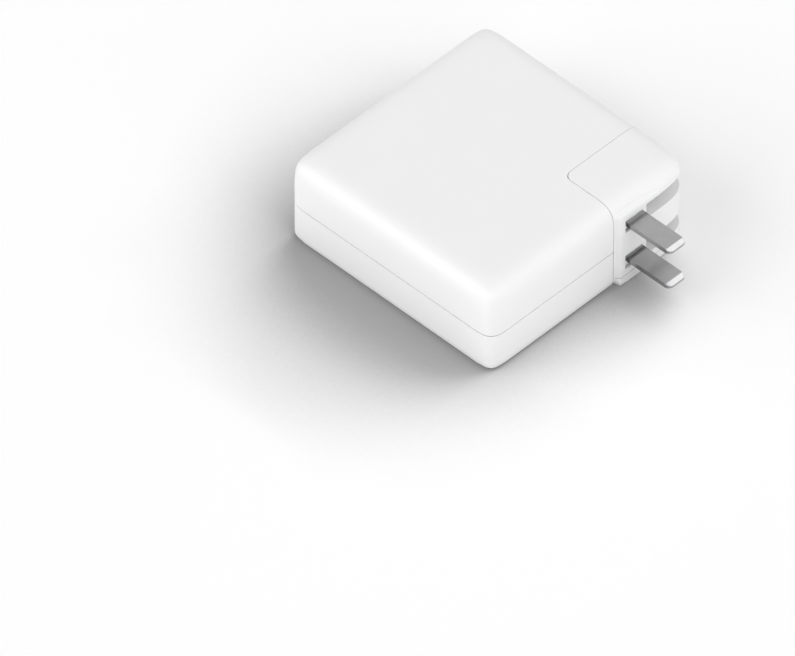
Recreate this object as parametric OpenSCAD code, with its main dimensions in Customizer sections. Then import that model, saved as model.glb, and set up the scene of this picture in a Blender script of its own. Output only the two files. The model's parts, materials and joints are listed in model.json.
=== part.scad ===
// Laptop power adapter with a removable corner plug whose two blades fold away.
// Origin: centre of the underside. +Z is up and +X is the way the blades point.

/* [Housing] */
// Length of the housing, along the blades
body_length = 74; // [73:0.5:90]
// Width of the housing, across the blades
body_width = 74; // [73.5:0.5:90]
// Height of the housing
body_height = 28.5; // [28.5:0.5:34]
// Thickness of the side walls
side_wall = 2.2; // [1.8:0.1:2.4]
// Thickness of the roof and of the floor
skin = 2; // [1.6:0.1:2.2]
// Height of the parting line between the two shells
parting_height = 13.1; // [12:0.1:14]
// Radius of the upright corners
corner_radius = 4.4; // [3:0.2:7]
// How far the soft top edge reaches in and down
shoulder_reach = 8; // [6:0.5:8]
// Squareness of the soft top edge, 2 being a plain circle
shoulder_power = 3.5; // [2:0.1:4]
// Radius along the bottom edges
foot_radius = 2.4; // [1:0.2:3]
// Chamfer that opens the fine parting lines
line_chamfer = 0.15; // [0.05:0.05:0.25]
// Height of the lip that lines up the two shells
lip_height = 1.5; // [1:0.1:2.5]
// Thickness of that lip
lip_thickness = 0.8; // [0.6:0.1:1]
// Clearance between the lip and the upper shell
lip_gap = 0.1; // [0.05:0.05:0.2]

/* [Plug block] */
// Depth of the corner block, along the blades
plug_depth = 18.15; // [18.15:0.05:20]
// Width of the corner block, across the blades
plug_width = 28.5; // [28.5:0.5:32]
// Radius of its outer upright corner
plug_corner_radius = 8.5; // [8.2:0.1:10]
// Radius of the inner corner of its bay
bay_corner_radius = 2.5; // [1.5:0.25:3]
// Gap between the block and its bay
seam_gap = 0.15; // [0.1:0.05:0.25]
// How far the front pad stands proud
pad_rise = 1.2; // [0.8:0.1:1.5]
// Width of the soft ramp round the pad
pad_ramp = 1.3; // [1:0.1:2]
// Depth of the crease along the top of the pad, from the roof
crease_drop = 2; // [1.8:0.1:3.1]
// Distance from the seam at which that crease starts to fade
pad_fade = 8; // [6:0.5:10]
// Length over which it fades
pad_fade_length = 11; // [8:0.5:12]
// Radius along the bottom edge of the pad
pad_foot = 0.5; // [0.2:0.1:1]
// Thickness of the wall behind the bay's seam
plug_wall = 1.6; // [1.2:0.1:1.8]
// Height of the cover that closes the block's underside
cover_height = 3.25; // [2.8:0.05:3.6]

/* [Blades] */
// Width of a blade
blade_width = 6.3; // [6:0.1:6.6]
// Thickness of a blade
blade_thickness = 1.5; // [1.3:0.1:1.65]
// Distance between the two blades
blade_pitch = 12.7; // [12.5:0.1:13]
// How far the blades stand out of the pad
blade_reach = 15.25; // [14:0.25:15.5]
// Length of the bevel at a blade's tip
blade_bevel = 1.6; // [1:0.1:2]
// Radius of the corners of a blade's tip
blade_corner = 1.5; // [0.8:0.1:2.5]
// Width of the tail that feeds a blade
blade_tail = 2.4; // [2:0.1:2.8]
// Height of a blade slot
slot_height = 5.1; // [4.8:0.1:5.3]
// Depth of the blade slots behind the pad
slot_depth = 9.1; // [9:0.1:9.3]
// Distance of the folding axis behind the pad
pivot_setback = 5.7; // [5.6:0.05:5.8]
// Distance of the folding axis from the bay's seam
pivot_offset = 7.3; // [7.2:0.1:8]
// Lift of the blades' middle above half height
blade_lift = 0.25; // [0:0.05:0.5]
// Radius of the round rear of the carrier's heads
carrier_radius = 4.9; // [4.6:0.1:4.9]
// Reach of a head's flat front from the folding axis
carrier_front = 4.8; // [4.6:0.1:4.9]
// Reach of that front to the side that the blades fold to
carrier_side = 5.3; // [5:0.1:5.4]
// Reach of that front to the other side
carrier_left = 4.2; // [3.8:0.1:4.3]
// Radius of the front's corners
carrier_corner = 1; // [0.6:0.1:1.4]
// Radius of the carrier's two journals
journal_radius = 2.5; // [2:0.1:3]
// Running clearance round the journals
journal_gap = 0.06; // [0.03:0.01:0.1]
// Working clearance round the carrier
carrier_gap = 0.25; // [0.2:0.05:0.3]

/* [Inlet] */
// Distance between the two inlet pins
pin_pitch = 8.6; // [8.4:0.1:9]
// Radius of an inlet pin
pin_radius = 1.2; // [1:0.05:1.25]
// Clearance between a pin and its socket contact
pin_gap = 0.05; // [0.03:0.01:0.1]
// Wall of a socket contact
contact_wall = 0.35; // [0.25:0.05:0.45]
// Radius of each lobe of the figure-of-eight nose
nose_radius = 3.9; // [3.6:0.1:4]
// Length of the nose that enters the housing
nose_length = 9.6; // [8.6:0.2:10]
// Clearance round the nose and round the stud
slide_gap = 0.3; // [0.2:0.05:0.4]
// Radius of the mounting stud's neck
stud_neck = 1.8; // [1.5:0.1:2]
// Radius of the mounting stud's head
stud_head = 2.8; // [2.5:0.1:2.9]
// Length of the stud's neck outside the wall
stud_reach = 1.7; // [1.6:0.1:1.9]
// Thickness of the stud's head
stud_cap = 1.4; // [1:0.1:1.6]
// Distance of the stud from the bay's back seam
stud_inset = 5.2; // [5:0.1:5.4]

/* [USB-C port] */
// Width of the port's metal shell
port_width = 8.94; // [8.9:0.01:9]
// Height of the port's metal shell
port_height = 3.26; // [3.2:0.01:3.3]
// Length of the port's metal shell
port_length = 7.3; // [6.8:0.1:8]
// Thickness of the port's metal shell
port_wall = 0.3; // [0.25:0.01:0.32]
// How far the port's mouth lies inside the wall
port_inset = 0.5; // [0.3:0.1:0.8]
// Clearance round the port in the wall
port_gap = 0.15; // [0.1:0.05:0.3]
// Width of the port's tongue
tongue_width = 6.69; // [6.6:0.01:6.7]
// Thickness of the port's tongue
tongue_thickness = 0.7; // [0.6:0.02:0.76]
// Distance between the port's contacts
port_contact_pitch = 0.5; // [0.45:0.01:0.52]

/* [Boards and heat spreaders] */
// Thickness of the circuit boards
board_thickness = 1.6; // [1:0.1:1.6]
// Height of the posts that carry the main board
board_standoff = 2.6; // [2.5:0.1:3]
// Gap between the main board and the walls
board_gap = 1.2; // [1:0.1:1.5]
// Radius of a board post
post_radius = 2; // [1.6:0.1:2.2]
// Radius of the peg on a board post
peg_radius = 1; // [0.6:0.1:1.2]
// Clearance round a peg
peg_gap = 0.1; // [0.05:0.05:0.2]
// Thickness of the heat spreaders
spreader_thickness = 0.5; // [0.3:0.1:0.6]
// Thickness of the insulating film
film_thickness = 0.3; // [0.1:0.05:0.4]
// Height of the chips under the main board
chip_height = 1.2; // [0.8:0.1:1.4]

/* [Components] */
// Thickness of the pad that joins the transformer to the upper heat spreader
pad_thickness = 2.8; // [1:0.2:4]
// Length of a bulk capacitor
bulk_length = 22.5; // [18:0.5:22.5]
// Height of an output capacitor
output_height = 11; // [8:0.5:14]
// Width of the choke's ring
choke_ring = 3.2; // [2.6:0.1:3.4]
// Thickness of the choke's core
choke_thickness = 5; // [4:0.2:5.4]
// Thickness of the choke's windings
choke_wire = 0.9; // [0.5:0.1:1]
// Width of the transformer
transformer_width = 25; // [24:0.5:27]
// Thickness of the power transistors
transistor_thickness = 4.4; // [3.6:0.1:4.4]
// Thickness of the heat sinks
sink_thickness = 1.4; // [1:0.1:1.4]
// Height of the heat sinks
sink_height = 16; // [14:0.5:17]
// Radius of the fuse
fuse_radius = 2.6; // [2:0.1:3]
// Length of the fuse
fuse_length = 10; // [8:0.5:10]

/* [Hidden] */

$fn = 64;
corner_steps = 8;      // segments in each upright corner
shoulder_steps = 9;    // segments up the soft top edge
foot_steps = 4;        // segments up the bottom edge
past = 1;              // how far a cut runs past the face it opens
small_gap = 0.15;      // clearance between pieces that are slid together
fit_gap = 0.02;        // clearance between pieces that are pressed together
lead = 0.6;            // width of a component's lead
thin_wall = 0.7;       // thin walls inside the plug block

// The housing's planes
front_x = body_length / 2;
right_y = body_width / 2;
inner_x = front_x - side_wall;
inner_y = right_y - side_wall;
roof_z = body_height - skin;
bay_x = front_x - plug_depth;
bay_y = right_y - plug_width;
bay_wall_x = bay_x - side_wall;
bay_wall_y = bay_y - side_wall;
port_z = body_height / 2;

// The plug block's planes
plug_x = bay_x + seam_gap;
plug_y = bay_y + seam_gap;
pad_x = front_x + pad_rise;
pad_crease = body_height - crease_drop;
blade_mid_z = body_height / 2 + blade_lift;
blade_levels = [blade_mid_z - blade_pitch / 2, blade_mid_z + blade_pitch / 2];
slot_shift = 0.3;      // how far the middle of a slot lies outside its blade
slot_levels = [blade_levels[0] - slot_shift, blade_levels[1] + slot_shift];
slot_floor = slot_levels[0] - slot_height / 2;
slot_roof = slot_levels[1] + slot_height / 2;
slot_back_x = pad_x - slot_depth;
pivot_x = pad_x - pivot_setback;
pivot_y = bay_y + pivot_offset;
front_sweep = norm([carrier_front - carrier_corner, carrier_side - carrier_corner])
    + carrier_corner;
pocket_radius = front_sweep + carrier_gap;
rear_pocket = carrier_side + carrier_gap;
drum_radius = carrier_radius - carrier_gap;
slot_left_y = pivot_y - sqrt(pow(pocket_radius, 2) - pow(pivot_setback, 2));
plug_hollow_x = plug_x + plug_wall;
tail_x = pivot_x - sqrt(pow(carrier_side, 2) - pow(blade_tail / 2, 2));
leaf = 0.4;            // thickness of the leaf springs
leaf_x = pivot_x - rear_pocket - 0.05 - leaf;
plug_hollow_end = leaf_x + leaf + 0.1;
hollow_side = plug_wall + 2.2;
hollow_roof = skin + 2;

// The inlet and the stud
inlet_y = bay_y + plug_width / 2;
nose_tip_x = plug_x - nose_length;
nose_flange = 1.6;
recess_end_x = nose_tip_x - 1;
socket_wall = 1.9;
socket_back_x = recess_end_x - socket_wall;
pin_tail = 1.6;        // length of a pin behind the socket
pin_setback = 1.2;     // depth of a pin's end behind the wall's inner face
contact_radius = pin_radius + pin_gap + contact_wall;
stud_x = bay_x + stud_inset;
stud_flange = 1.3;
stud_rim = 0.4;
clip_wall = 0.4;
clip_start_x = plug_x + 0.6;
clip_half = stud_head + slide_gap + clip_wall;
clip_end_x = stud_x + stud_head + slide_gap;
clip_lip_y = bay_y + stud_reach - slide_gap;
clip_back_y = bay_y + stud_reach + stud_cap + slide_gap;
plug_hollow_y = clip_back_y + clip_wall + thin_wall;

// The USB-C port's tongue, from the port's mouth
tongue_start = 0.9;
tongue_base = 2;

// The carrier's journals, the blades' roots in it and the detent spring's nib
journal_length = 2.1;
carrier_ease = 0.15;   // end clearance of the carrier's heads
root_length = 3.4;
nib_half = 1;
nib_play = 0.25;
notch = 0.8;

// The transformer's core and bobbin
core_drop = 2.5;
core_leg = 4;
core_side = 3;
core_yoke = 3.4;
bobbin_wall = 0.8;

// The boards
board_bottom = skin + board_standoff;
board_top = board_bottom + board_thickness;
board_x = inner_x - board_gap;
board_y = inner_y - board_gap;
board_notch_x = bay_wall_x - board_gap;
board_notch_y = bay_wall_y - board_gap;
post_inset = board_gap + post_radius + 0.8;
post_places = [
    [inner_x - post_inset, post_inset - inner_y],
    [post_inset - inner_x, post_inset - inner_y],
    [post_inset - inner_x, inner_y - post_inset],
    [inner_x - post_inset, bay_wall_y - post_inset],
    [bay_wall_x - post_inset, inner_y - post_inset]
];
spreader_inset = post_inset + post_radius + 0.8;
film_z = skin + spreader_thickness;
spreader_z = roof_z - spreader_thickness;
port_mouth_x = port_inset - front_x;
usb_board_x = port_mouth_x + port_length;
usb_margin = 4;        // board beyond the port, to each side and above
peg_tip = 0.6;         // height of a peg above the main board

// The rows of components, each placed from the one beside it
component_gap = 0.8;
wall_keep = lip_gap + lip_thickness + 0.4;    // kept free along the walls for the lip
row_y = wall_keep + 1.9 - inner_y;            // side of the mains row by the long wall
usb_half = port_width / 2 + usb_margin;
output_y = post_inset - inner_y + peg_radius + 0.5;
output_radius = (-usb_half - 0.33 - output_y - 2 * component_gap) / 6;
output_x = wall_keep + output_radius - inner_x;
second_transistor_x = output_x + output_radius + 0.3;
second_sink_x = second_transistor_x + transistor_thickness;
bulk_x = inner_x - wall_keep - bulk_length;
sink_x = bulk_x - 2.2 - sink_thickness;       // clear of the capacitors' leads
transistor_x = sink_x - transistor_thickness;
transformer_start = second_sink_x + sink_thickness + component_gap;
transformer_length = transistor_x - component_gap - transformer_start;
transformer_height = spreader_z - pad_thickness - board_top;
transformer_x = transformer_start + transformer_length / 2;
transformer_y = row_y + transformer_width / 2;
transformer_z = board_top + transformer_height / 2;
transistor_width = 10;
transistor_height = 9;
transistor_lift = 3.2;
tab_thickness = 1.3;
tab_height = sink_height - transistor_lift - transistor_height;
lead_pitch = 2.54;
sink_edge = 3;
sink_bend = 2;
sink_notch = 4;
bridge_size = [14, 3.6, 10];
bridge_x = board_notch_x + 2;
bridge_y = bay_wall_y - 2.2 - bridge_size[1];
bridge_lift = 1.5;
bridge_edge = 2;       // distance of the outer leads from the bridge's ends
bulk_start = row_y - 1.6;
bulk_radius = (bridge_y - 4.9 - bulk_start - component_gap) / 4;
bulk_rows = [bulk_start + bulk_radius, bulk_start + 3 * bulk_radius + component_gap];
bulk_z = board_top + bulk_radius + small_gap;
bulk_stub = 1.2;       // length of a bulk capacitor's leads before they turn down
bulk_groove = 0.4;
x_capacitor_size = [7, 15, 14];
optocoupler_size = [6.4, 4.6, 3.5];
disc_lift = 1.2;
varistor_radius = 4.6;
varistor_thickness = 3.6;
varistor_y = inner_y - wall_keep - component_gap - varistor_radius;
y_capacitor_radius = 3.4;
y_capacitor_thickness = 2.6;
filter_y = inlet_y - 3;
fuse_lift = 0.3;       // clear height under the fuse
fuse_cap = 0.2;        // how far the fuse's caps stand out
fuse_x = socket_back_x - pin_tail - lead - component_gap - fuse_radius - fuse_cap;
fuse_y = bay_wall_y + 1.2;
choke_slack = 0.05;    // clearance between the choke's core and its windings
choke_lift = 0.2;      // clear height under the choke's windings
choke_headroom = 2.6;  // clear height above them
choke_room = spreader_z - board_top - choke_lift - choke_headroom;
choke_radius = choke_room / 2 - choke_wire;
choke_hole = choke_radius - choke_ring;
choke_z = board_top + choke_lift + choke_wire + choke_radius;
choke_half = choke_thickness / 2 + choke_wire + choke_slack;
choke_x = fuse_x - fuse_radius - fuse_cap - component_gap - choke_half;
x_capacitor_x = choke_x - choke_half - component_gap - x_capacitor_size[0];
control_x = x_capacitor_x - 4;
control_half = 8;
control_height = 12.8;
control_top = board_top + control_height;

// A block between two opposite corners.
module box(low, high) {
    translate(low) cube(high - low);
}

// A cylinder along +X or +Y from a point.
module rod_x(at, radius, length) {
    translate(at) rotate([0, 90, 0]) cylinder(r = radius, h = length);
}

module rod_y(at, radius, length) {
    translate(at) rotate([-90, 0, 0]) cylinder(r = radius, h = length);
}

// A rectangle with round corners, centred.
module rounded_plan(half_x, half_y, radius) {
    square([2 * (half_x - radius), 2 * half_y], center = true);
    square([2 * half_x, 2 * (half_y - radius)], center = true);
    for (sx = [-1, 1], sy = [-1, 1])
        translate([sx * (half_x - radius), sy * (half_y - radius)]) circle(radius);
}

// A solid through rings of points that turn anticlockwise and climb from the first ring.
module loft(rings) {
    count = len(rings[0]);
    top = (len(rings) - 1) * count;
    sides = [
        for (k = [0:len(rings) - 2], i = [0:count - 1])
            let (a = k * count + i, b = k * count + (i + 1) % count)
                each [[a, a + count, b + count], [a, b + count, b]]
    ];
    floor_face = [for (i = [0:count - 1]) i];
    roof_face = [for (i = [count - 1:-1:0]) top + i];
    polyhedron([for (ring = rings) each ring], concat([floor_face, roof_face], sides));
}

// Inset and drop of the soft top edge, from 0 on the side to 1 on the roof.
function shoulder_in(t) = shoulder_reach * (1 - pow(cos(90 * t), 2 / shoulder_power));
function shoulder_drop(t) = shoulder_reach * (1 - pow(sin(90 * t), 2 / shoulder_power));

// One level of the housing: a rounded rectangle drawn in by an inset.
function housing_ring(inset, z) =
    let (
        radius = max(corner_radius - inset, 0.4),
        x = front_x - inset - radius,
        y = right_y - inset - radius
    )
    [
        for (quarter = [0:3], i = [0:corner_steps])
            let (
                turn = 90 * quarter + 90 * i / corner_steps,
                sx = quarter == 0 || quarter == 3 ? 1 : -1,
                sy = quarter < 2 ? 1 : -1
            )
            [sx * x + radius * cos(turn), sy * y + radius * sin(turn), z]
    ];

// The outside of the upper shell, or its inside when drawn in by a wall and a roof.
module upper_form(wall = 0, roof = 0, base = parting_height) {
    top = body_height - roof;
    chamfer = wall > 0 ? 0 : line_chamfer;
    loft(concat(
        [housing_ring(wall + chamfer, base), housing_ring(wall, base + line_chamfer)],
        [for (k = [0:shoulder_steps]) let (t = k / shoulder_steps)
            housing_ring(wall + shoulder_in(t), top - shoulder_drop(t))]
    ));
}

// The outside of the lower shell.
module lower_form() {
    loft(concat(
        [for (k = [0:foot_steps]) let (turn = 90 * k / foot_steps)
            housing_ring(foot_radius * (1 - sin(turn)), foot_radius * (1 - cos(turn)))],
        [housing_ring(0, parting_height - line_chamfer),
            housing_ring(line_chamfer, parting_height)]
    ));
}

// The corner bay for the plug block, grown by the wall round it.
module plug_bay(grow = 0) {
    radius = bay_corner_radius + grow;
    far = body_length + body_width;
    translate([bay_x - grow, bay_y - grow, -past]) linear_extrude(body_height + 2 * past) {
        translate([radius, 0]) square(far);
        translate([0, radius]) square(far);
        translate([radius, radius]) circle(radius);
    }
}

// A figure-of-eight across Y, lying along X.
module figure_eight(radius, length) {
    for (side = [-1, 1])
        translate([0, side * pin_pitch / 2, 0]) rotate([0, 90, 0]) cylinder(r = radius, h = length);
    waist = radius * 0.86;
    translate([0, -pin_pitch / 2, -waist]) cube([length, pin_pitch, 2 * waist]);
}

// A flat tube section with round ends, lying along X.
module port_slot(width, height, length) {
    for (side = [-1, 1])
        translate([0, side * (width - height) / 2, 0])
            rotate([0, 90, 0]) cylinder(r = height / 2, h = length);
    translate([0, -(width - height) / 2, -height / 2]) cube([length, width - height, height]);
}

// What passes through the side walls: the USB-C port, the nose and the stud.
module wall_openings() {
    translate([-front_x - past, 0, port_z])
        port_slot(port_width + 2 * port_gap, port_height + 2 * port_gap, side_wall + 2 * past);
    translate([bay_wall_x - past, inlet_y, blade_mid_z])
        figure_eight(nose_radius + slide_gap, side_wall + 2 * past);
    rod_y([stud_x, bay_wall_y - past, blade_mid_z], stud_neck, side_wall + 2 * past);
}

module upper_shell() {
    color("white") difference() {
        upper_form();
        difference() {
            upper_form(side_wall, skin, parting_height - past);
            plug_bay(side_wall);
        }
        plug_bay();
        wall_openings();
    }
}

// A rail of the lining-up lip along a wall, seen from inside: the wall's face is at y = 0.
module lip_rail(from, to) {
    root = 0.2;
    depth = 3;
    box([from, -root, parting_height - depth], [to, lip_gap + lip_thickness, parting_height]);
    box([from, lip_gap, parting_height - past],
        [to, lip_gap + lip_thickness, parting_height + lip_height]);
}

module lip_rails() {
    end = corner_radius + 1;
    port_clear = port_width / 2 + 3;
    translate([0, -inner_y, 0]) lip_rail(end - inner_x, inner_x - end);
    translate([0, inner_y, 0]) rotate([0, 0, 180]) lip_rail(end - bay_wall_x, inner_x - end);
    translate([inner_x, 0, 0]) rotate([0, 0, 90]) lip_rail(end - inner_y, bay_wall_y - end);
    for (side = [[end - inner_y, -port_clear], [port_clear, inner_y - end]])
        translate([-inner_x, 0, 0]) rotate([0, 0, -90]) lip_rail(side[0], side[1]);
}

module board_posts() {
    for (place = post_places) translate([place[0], place[1], skin - past]) {
        cylinder(r = post_radius, h = board_standoff + past);
        cylinder(r = peg_radius, h = board_standoff + board_thickness + peg_tip + past);
    }
}

module lower_shell() {
    color("white") {
        difference() {
            union() {
                difference() {
                    lower_form();
                    difference() {
                        translate([0, 0, skin]) linear_extrude(parting_height)
                            rounded_plan(inner_x, inner_y, max(corner_radius - side_wall, 0.6));
                        plug_bay(side_wall);
                    }
                }
                lip_rails();
                board_posts();
            }
            plug_bay();
            wall_openings();
        }
    }
}

module main_board() {
    color("darkgreen") difference() {
        translate([0, 0, board_bottom]) linear_extrude(board_thickness) difference() {
            square([2 * board_x, 2 * board_y], center = true);
            translate([board_notch_x, board_notch_y]) square([body_length, body_width]);
        }
        for (place = post_places) translate([place[0], place[1], board_bottom - past])
            cylinder(r = peg_radius + peg_gap, h = board_thickness + 2 * past);
    }
}

module control_board() {
    color("darkgreen")
        box([control_x, filter_y - control_half, board_top],
            [control_x + board_thickness, filter_y + control_half, control_top]);
}

module usb_board() {
    color("darkgreen") box([usb_board_x, -usb_half, board_top],
        [usb_board_x + board_thickness, usb_half, port_z + port_height / 2 + usb_margin]);
}

module usb_port_shell() {
    color("silver") translate([port_mouth_x, 0, port_z]) difference() {
        port_slot(port_width, port_height, port_length);
        translate([-past, 0, 0]) port_slot(port_width - 2 * port_wall,
            port_height - 2 * port_wall, port_length + 2 * past);
    }
}

module usb_port_tongue() {
    wall = port_wall + fit_gap;
    color("dimgray") translate([port_mouth_x, 0, port_z]) {
        translate([port_length - tongue_base, 0, 0])
            port_slot(port_width - 2 * wall, port_height - 2 * wall, tongue_base);
        translate([tongue_start, -tongue_width / 2, -tongue_thickness / 2])
            cube([port_length - tongue_start - tongue_base / 2, tongue_width, tongue_thickness]);
    }
}

module usb_port_contacts() {
    size = [3.2, 0.26, 0.08];
    count = 12;
    color("gold") translate([port_mouth_x + tongue_start + 0.5, 0, port_z])
        for (i = [0:count - 1], side = [-1, 1])
            translate([0, (i - (count - 1) / 2) * port_contact_pitch - size[1] / 2,
                side > 0 ? tongue_thickness / 2 : -tongue_thickness / 2 - size[2]]) cube(size);
}

// Insulating cup behind the opening, with the figure-of-eight recess.
module inlet_socket() {
    half_y = pin_pitch / 2 + nose_radius + slide_gap + socket_wall;
    half_z = nose_radius + slide_gap + socket_wall;
    color("dimgray") translate([0, inlet_y, blade_mid_z]) difference() {
        box([socket_back_x, -half_y, -half_z], [bay_wall_x, half_y, half_z]);
        translate([recess_end_x, 0, 0])
            figure_eight(nose_radius + slide_gap, bay_wall_x - recess_end_x + past);
        for (side = [-1, 1])
            rod_x([socket_back_x - past, side * pin_pitch / 2, 0], pin_radius, socket_wall + 2 * past);
    }
}

module inlet_pins() {
    point = 0.5;
    start = socket_back_x - pin_tail;
    length = bay_wall_x - start - pin_setback;
    color("silver") for (side = [-1, 1])
        translate([start, inlet_y + side * pin_pitch / 2, blade_mid_z]) rotate([0, 90, 0]) {
            cylinder(r = pin_radius, h = length - point);
            translate([0, 0, length - point])
                cylinder(r1 = pin_radius, r2 = pin_radius - point, h = point);
        }
}

module inlet_leads() {
    end = socket_back_x - pin_tail;
    color("goldenrod") for (side = [-1, 1])
        translate([end - lead, inlet_y + side * pin_pitch / 2 - pin_radius, board_top])
            cube([lead, 2 * pin_radius, blade_mid_z + pin_radius - board_top]);
}

module mounting_stud() {
    color("silver") translate([stud_x, 0, blade_mid_z]) {
        rod_y([0, bay_wall_y - stud_flange, 0], stud_head + stud_rim, stud_flange);
        rod_y([0, bay_wall_y - stud_flange, 0], stud_neck,
            stud_flange + side_wall + stud_reach + stud_rim);
        rod_y([0, bay_y + stud_reach, 0], stud_head, stud_cap - stud_rim);
        translate([0, bay_y + stud_reach + stud_cap - stud_rim, 0]) rotate([-90, 0, 0])
            cylinder(r1 = stud_head, r2 = stud_head - stud_rim, h = stud_rim);
    }
}

module ground_strap() {
    half = 2;
    back = bay_wall_y - stud_flange;
    color("goldenrod")
        box([stud_x - half, back - lead, board_top], [stud_x + half, back, blade_mid_z + half]);
}

// Two wires that stand a component on the main board.
module legs(x, y_values, top, width = lead) {
    for (y = y_values)
        box([x - width / 2, y - width / 2, board_top], [x + width / 2, y + width / 2, top]);
}

module fuse() {
    cap = 1.8;
    z = board_top + fuse_radius + fuse_lift;
    color("beige") {
        rod_y([fuse_x, fuse_y, z], fuse_radius, fuse_length);
        for (y = [fuse_y - fuse_cap, fuse_y + fuse_length - cap + fuse_cap])
            rod_y([fuse_x, y, z], fuse_radius + fuse_cap, cap);
        legs(fuse_x, [fuse_y + cap / 2, fuse_y + fuse_length - cap / 2], z);
    }
}

// A coated disc that stands across X on two wires.
module standing_disc(at, radius, thickness) {
    z = board_top + disc_lift + radius;
    rod_x([at[0] - thickness / 2, at[1], z], radius, thickness);
    legs(at[0], [at[1] - radius / 2, at[1] + radius / 2], z);
}

module varistor() {
    color("royalblue")
        standing_disc([fuse_x, varistor_y], varistor_radius, varistor_thickness);
}

module x_capacitor() {
    color("khaki") translate([x_capacitor_x, filter_y - x_capacitor_size[1] / 2, board_top])
        cube(x_capacitor_size);
}

module choke_core() {
    color("darkslategray")
        translate([choke_x - choke_thickness / 2, filter_y, choke_z]) rotate([0, 90, 0])
            difference() {
                cylinder(r = choke_radius, h = choke_thickness);
                translate([0, 0, -past]) cylinder(r = choke_hole, h = choke_thickness + 2 * past);
            }
}

module choke_windings() {
    span = 130;
    inner = [choke_radius - choke_hole + 2 * choke_slack, choke_thickness + 2 * choke_slack];
    outer = [inner[0] + 2 * choke_wire, inner[1] + 2 * choke_wire];
    middle = (choke_radius + choke_hole) / 2;
    color("peru") {
        translate([choke_x, filter_y, choke_z]) rotate([0, 90, 0]) for (side = [0, 180])
            rotate([0, 0, side + 90 - span / 2]) rotate_extrude(angle = span)
                translate([middle, 0]) difference() {
                    square(outer, center = true);
                    square(inner, center = true);
                }
        legs(choke_x, [filter_y - choke_radius - choke_wire / 2,
            filter_y + choke_radius + choke_wire / 2], choke_z, choke_wire);
    }
}

module bridge_rectifier() {
    color("dimgray") {
        translate([bridge_x, bridge_y, board_top + bridge_lift]) cube(bridge_size);
        for (i = [0:3]) legs(bridge_x + bridge_edge + i * (bridge_size[0] - 2 * bridge_edge) / 3,
            [bridge_y + bridge_size[1] / 2], board_top + bridge_lift + 1);
    }
}

module bulk_capacitors() {
    color("midnightblue") for (y = bulk_rows) {
        difference() {
            rod_x([bulk_x, y, bulk_z], bulk_radius, bulk_length);
            translate([bulk_x + 5 * bulk_groove, y, bulk_z]) rotate([0, 90, 0])
                rotate_extrude() translate([bulk_radius, 0]) circle(bulk_groove);
        }
        for (side = [-1, 1]) {
            lead_y = y + side * bulk_radius / 3;
            box([bulk_x - bulk_stub, lead_y - lead / 2, bulk_z - lead / 2],
                [bulk_x, lead_y + lead / 2, bulk_z + lead / 2]);
            legs(bulk_x - bulk_stub + lead / 2, [lead_y], bulk_z + lead / 2);
        }
    }
}

// A plastic power transistor against a heat sink whose face is at x.
module power_transistor(x, y) {
    base = board_top + transistor_lift;
    translate([x - transistor_thickness, y - transistor_width / 2, base])
        cube([transistor_thickness, transistor_width, transistor_height]);
    translate([x - tab_thickness, y - transistor_width / 2, base + transistor_height])
        cube([tab_thickness, transistor_width, tab_height]);
    legs(x - transistor_thickness / 2, [y - lead_pitch, y, y + lead_pitch], base);
}

// An upright plate with a bent top that carries heat away from a transistor.
module heat_sink(x, y_low, y_high, bend) {
    top = board_top + sink_height;
    box([x, y_low, board_top], [x + sink_thickness, y_high, top]);
    box([x, y_low + sink_edge, top - sink_thickness],
        [x + sink_thickness + bend, y_high - sink_edge, top]);
}

sink_y = [row_y + 1, row_y + transformer_width - 1];

module primary_transistor() {
    color("black") power_transistor(sink_x, transformer_y);
}

module primary_heat_sink() {
    color("lightgray") heat_sink(sink_x, sink_y[0], sink_y[1], sink_bend);
}

module rectifier_transistor() {
    color("black") power_transistor(second_sink_x, transformer_y);
}

module secondary_heat_sink() {
    color("lightgray") heat_sink(second_sink_x, sink_y[0], sink_y[1] - sink_notch, 0);
}

module transformer_core() {
    half = [transformer_length / 2, transformer_width / 2, transformer_height / 2 - core_drop];
    color("darkslategray") translate([transformer_x, transformer_y, transformer_z]) difference() {
        box(-half, half);
        for (side = [-1, 1]) {
            low = side > 0 ? core_leg : core_side - half[1];
            box([core_yoke - half[0], low, -half[2] - past],
                [half[0] - core_yoke, low + half[1] - core_side - core_leg, half[2] + past]);
        }
    }
}

flange_half = transformer_width / 2 - core_side - small_gap;
spool_half = transformer_length / 2 - core_yoke - small_gap;
core_half_z = transformer_height / 2 - core_drop;

module transformer_bobbin() {
    leg = [core_leg + small_gap, core_half_z + small_gap];
    color("beige") translate([transformer_x, transformer_y, transformer_z]) difference() {
        union() {
            box([-spool_half, -leg[0] - bobbin_wall, -leg[1] - bobbin_wall],
                [spool_half, leg[0] + bobbin_wall, leg[1] + bobbin_wall]);
            for (end = [-spool_half, spool_half - bobbin_wall])
                box([end, -flange_half, -transformer_height / 2],
                    [end + bobbin_wall, flange_half, transformer_height / 2]);
        }
        box([-spool_half - past, -leg[0], -leg[1]], [spool_half + past, leg[0], leg[1]]);
    }
}

module transformer_winding() {
    tube = [core_leg + 2 * small_gap + bobbin_wall, core_half_z + 2 * small_gap + bobbin_wall];
    half = spool_half - bobbin_wall - small_gap;
    outer = [flange_half - 0.5, transformer_height / 2 - 0.4];
    color("gold") translate([transformer_x, transformer_y, transformer_z]) difference() {
        box([-half, -outer[0], -outer[1]], [half, outer[0], outer[1]]);
        box([-half - past, -tube[0], -tube[1]], [half + past, tube[0], tube[1]]);
    }
}

module thermal_pad() {
    half = [spool_half - 1, flange_half - 1];
    color("slategray") translate([transformer_x, transformer_y, 0])
        box([-half[0], -half[1], board_top + transformer_height], [half[0], half[1], spreader_z]);
}

bridge_gap_y = row_y + transformer_width + 2;

module y_capacitor() {
    color("royalblue") standing_disc([transformer_x + 4, bridge_gap_y + y_capacitor_radius],
        y_capacitor_radius, y_capacitor_thickness);
}

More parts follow.
